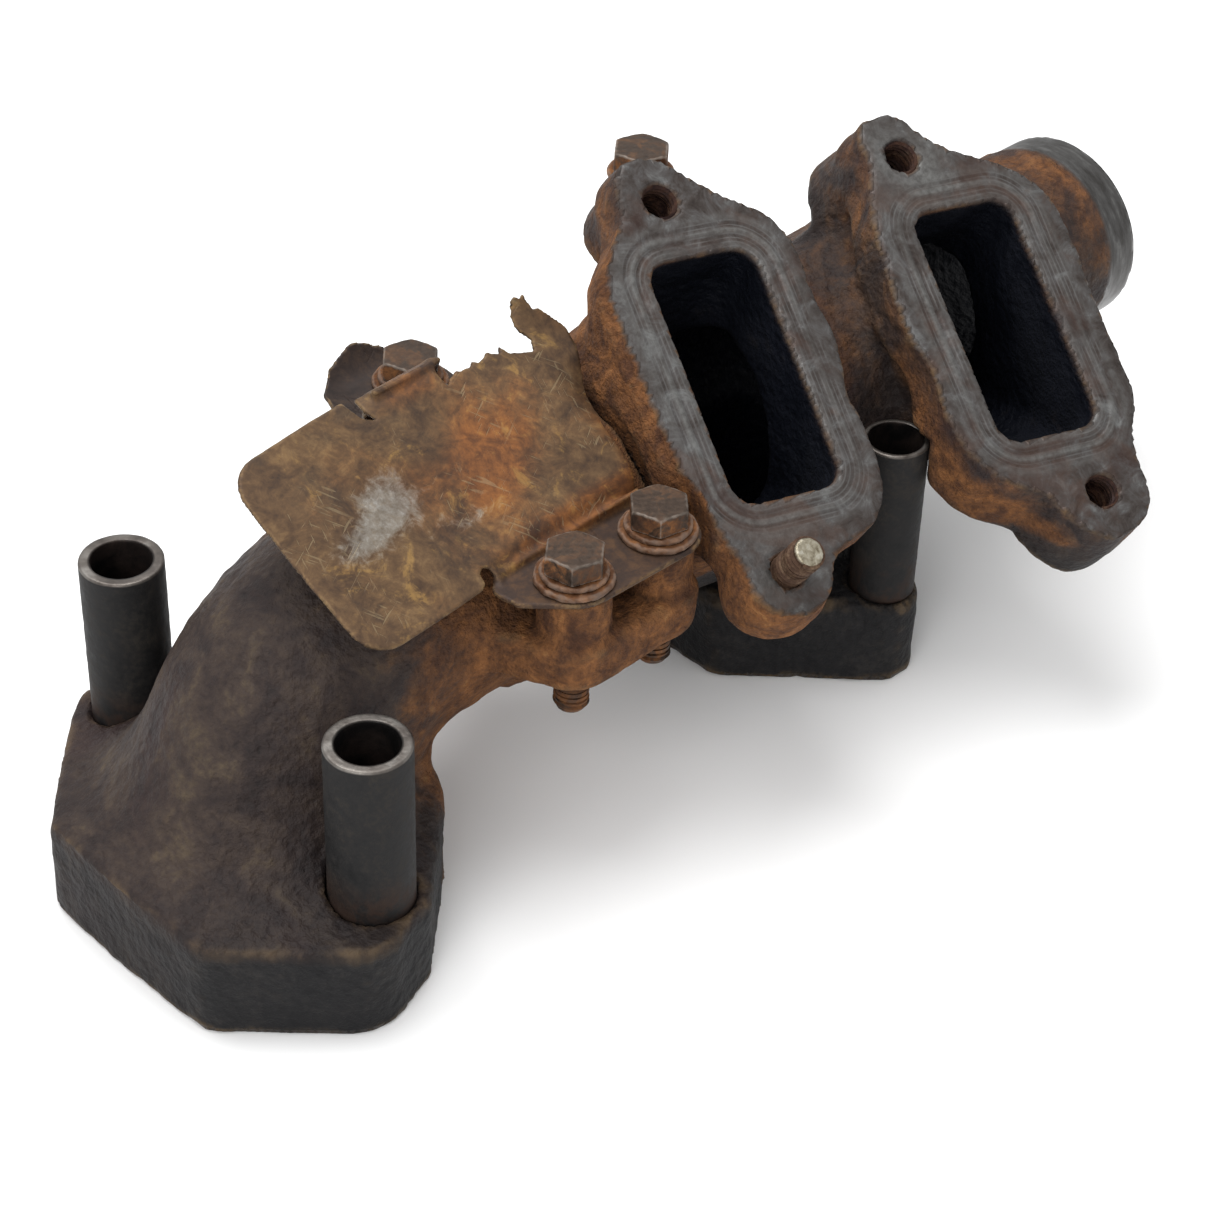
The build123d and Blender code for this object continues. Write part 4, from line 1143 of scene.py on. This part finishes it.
washers, threads, bolts = turned_ring(), thread(), set_bolts()
rusty_bolt = fastener_steel("bolt_steel", (54, 45, 40), (84, 70, 60))
rusty_washer = fastener_steel("washer_steel", (78, 50, 36), (112, 74, 46), 0.25)
stud_finish = stud_steel()
sleeve_finish = sleeve_steel()
SHEET_TOP = STRAP_Z + SHEET_T
HEAD_Z = SHEET_TOP + 2 * WASHER_T
shield_spots = [(*NEAR_BOLTS[0], 0), (*NEAR_BOLTS[1], 0), (*FAR_BOLT, 0)]


def lifted(points, height):
    """The same spots, higher up."""
    return [(px, py, pz + height) for px, py, pz in points]


def ring_piece(name, body, nodes, places, slot, finish, outer, bore, height, **more):
    """A set of washers or sleeves, sizes in millimetres."""
    piece = washers.grow(name, places, finish, Outer=outer * MM, Bore=bore * MM, Height=height * MM,
                         **{key: value * MM for key, value in more.items()})
    mark(piece, "edge", crispness(piece, 0.25))
    adopt(piece, body, slot, finish, *nodes)
    return piece


def wind_thread(name, places, body, slot, finish, **sizes):
    """A thread that stands in for no part of the CAD model."""
    piece = threads.grow(name, places, finish, **sizes)
    piece.data.materials.clear()
    piece.data.materials.append(finish)
    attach(piece, body)


near_nodes = ("near_front", "near_rear", "far")
side_spot = [(*SIDE_BOLT, SIDE_BOSS_TOP)]
for name, body, nodes, places, outer, rounding, waviness in (
    ("plain_washers", "front", [n + "_plain_washer" for n in near_nodes],
     lifted(shield_spots, SHEET_TOP), 9.35, 0.5, 0.9),
    ("disc_washers", "front", [n + "_disc_washer" for n in near_nodes],
     lifted(shield_spots, SHEET_TOP + WASHER_T), 8.0, 0.6, 0.8),
    ("side_washer", "centre", ["outlet_side_washer"], side_spot, 8.4, 0.6, 0.5),
):
    ring_piece(name, body, nodes, places, "washer_steel", rusty_washer, outer, 4.6, WASHER_T,
               Rounding=rounding, Spacing=0.45, Waviness=waviness)

for name, length, head_t, body, nodes, places in (
    ("shield_bolts", 40.0, 5.3, "front", [n + "_bolt" for n in near_nodes],
     lifted(shield_spots, HEAD_Z)),
    ("side_bolt", 24.0, 6.2, "centre", ["outlet_side_bolt"], lifted(side_spot, WASHER_T)),
):
    pattern = mesh_from(name + "_pattern", *skin_over(
        bolt_shape(length, head_t), (-7.6, -7.6, -length), (7.6, 7.6, head_t), SMALL_GRAIN))
    mark(pattern, "edge", crispness(pattern, 0.22))
    mark(pattern, "cap", rise(spots(pattern)[:, 2], head_t - 0.7, head_t - 0.1))
    piece = bolts.grow(name, places, rusty_bolt, Bolt=pattern)
    adopt(piece, body, "bolt_steel", rusty_bolt, *nodes)
    bpy.data.objects.remove(pattern)
    wind_thread(name + "_threads", lifted(places, -length + 20), body, "bolt_steel", rusty_bolt,
                Length=0.0185)

for body, foot, foot_x, outer, bore in (("front", "front", 0, 10.0, 7.1),
                                        ("centre", "rear", PORT_PITCH, 8.4, 6.7)):
    places = [(foot_x, -HALF_BOLTS, SEAT_Z), (foot_x, HALF_BOLTS, SEAT_Z)]
    piece = ring_piece(body + "_sleeves", body, [foot + "_near_sleeve", foot + "_far_sleeve"], places,
                       "sleeve_steel", sleeve_finish, outer - 0.05, bore, SLEEVE_TOP - SEAT_Z,
                       Rounding=0.45, Spacing=0.5, Waviness=0.25)
    px, py, _ = spots(piece).T
    bore_r = np.minimum(*(np.hypot(px - p[0], py - p[1]) for p in places))
    # marks each bore for its painted shade
    mark(piece, "inside", rise(bore + 0.5 - bore_r, 0, 0.4))

# ---------------------------------------------------------------- stud and tapped holes
stud_u, stud_v = FRONT_DOWN


def stud_shape(x, y, z):
    u, v, h = face_uvh(FRONT_AT, x, y, z)
    r = np.hypot(u - stud_u, v - stud_v)
    shank = both(r - THREAD_CORE_R, slab(h, -15, 12), 0.2)
    return both(shank, (r + h - 12 - 3.1) * 0.7 + 0.1 * np.sin(u * 2.1) * np.sin(v * 1.7), 0.2)


low_end, high_end = (on_face(FRONT_AT, stud_u, stud_v, h) for h in (-15, 12))
stud = mesh_from("stud", *skin_over(stud_shape, np.minimum(low_end, high_end) - 4,
                                    np.maximum(low_end, high_end) + 4, SMALL_GRAIN))
mark(stud, "cap", rise(face_uvh(FRONT_AT, *spots(stud).T)[2], 11.2, 11.7))
adopt(stud, "centre", "stud_steel", stud_finish, "outlet_stud")
lean = tuple(Vector(OUT).to_track_quat("Z", "Y").to_euler())
wind_thread("stud_threads", [on_face(FRONT_AT, stud_u, stud_v, 11.2)], "centre", "stud_steel", stud_finish,
            Length=0.0255, Lean=lean)
hole_tops = [on_face(centre, *spot, -0.8)
             for centre, spot in ((FRONT_AT, FRONT_UP), (REAR_AT, REAR_UP), (REAR_AT, REAR_DOWN))]
wind_thread("hole_threads", hole_tops, "centre", "casting_rust",
            fastener_steel("hole_rust", (34, 24, 24), (58, 41, 38), 0.1, 0.2),
            Radius=0.00455, Pitch=0.0015, Length=0.0155, Depth=0.0006, Lean=lean)

ring_finish = ring_steel()
for node in ("seal_ring_1", "seal_ring_2"):
    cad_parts[node].material_slots[0].material = ring_finish

# ---------------------------------------------------------------- camera, floor, light
camera = bpy.data.objects.new("camera", bpy.data.cameras.new("camera"))
bpy.context.scene.collection.objects.link(camera)
bpy.context.scene.camera = camera
camera.data.sensor_width = 36
camera.data.lens = 89.566
camera.data.clip_start = 0.01
right, up = (0.718200, -0.695277, 0.027908), (0.414730, 0.459919, 0.785158)
back = (-0.558738, -0.552326, 0.618666)
camera.matrix_world = Matrix((
    (right[0], up[0], back[0], -0.312047), (right[1], up[1], back[1], -0.422385),
    (right[2], up[2], back[2], 0.492738), (0, 0, 0, 1)))

floor_mesh = bpy.data.meshes.new("floor")
floor_mesh.from_pydata([(-4, -4, 0), (4, -4, 0), (4, 4, 0), (-4, 4, 0)], [], [(0, 1, 2, 3)])
floor = bpy.data.objects.new("floor", floor_mesh)
bpy.context.scene.collection.objects.link(floor)
floor_paint = bpy.data.materials.new("floor_paint")
floor_paint.use_nodes = True
floor_paint.node_tree.nodes["Principled BSDF"].inputs["Base Color"].default_value = (0.9, 0.9, 0.9, 1)
floor_paint.node_tree.nodes["Principled BSDF"].inputs["Roughness"].default_value = 0.9
floor_mesh.materials.append(floor_paint)


def soft_light(name, place, aim, size, watts):
    lamp = bpy.data.lights.new(name, "AREA")
    lamp.shape = "DISK"
    lamp.size = size
    lamp.energy = watts
    holder = bpy.data.objects.new(name, lamp)
    bpy.context.scene.collection.objects.link(holder)
    holder.location = place
    holder.rotation_euler = (Vector(aim) - Vector(place)).to_track_quat("-Z", "Y").to_euler()
    return holder


soft_light("top_light", (0.1, 0.35, 1.3), (0.12, 0, 0), 1.0, 14)
soft_light("side_light", (-1.0, -0.5, 0.9), (0.12, 0, 0.05), 0.8, 7)
world = bpy.data.worlds.new("studio")
world.use_nodes = True
world.node_tree.nodes["Background"].inputs[0].default_value = (1, 1, 1, 1)
world.node_tree.nodes["Background"].inputs[1].default_value = 0.9
bpy.context.scene.world = world
bpy.context.scene.view_settings.view_transform = "Standard"
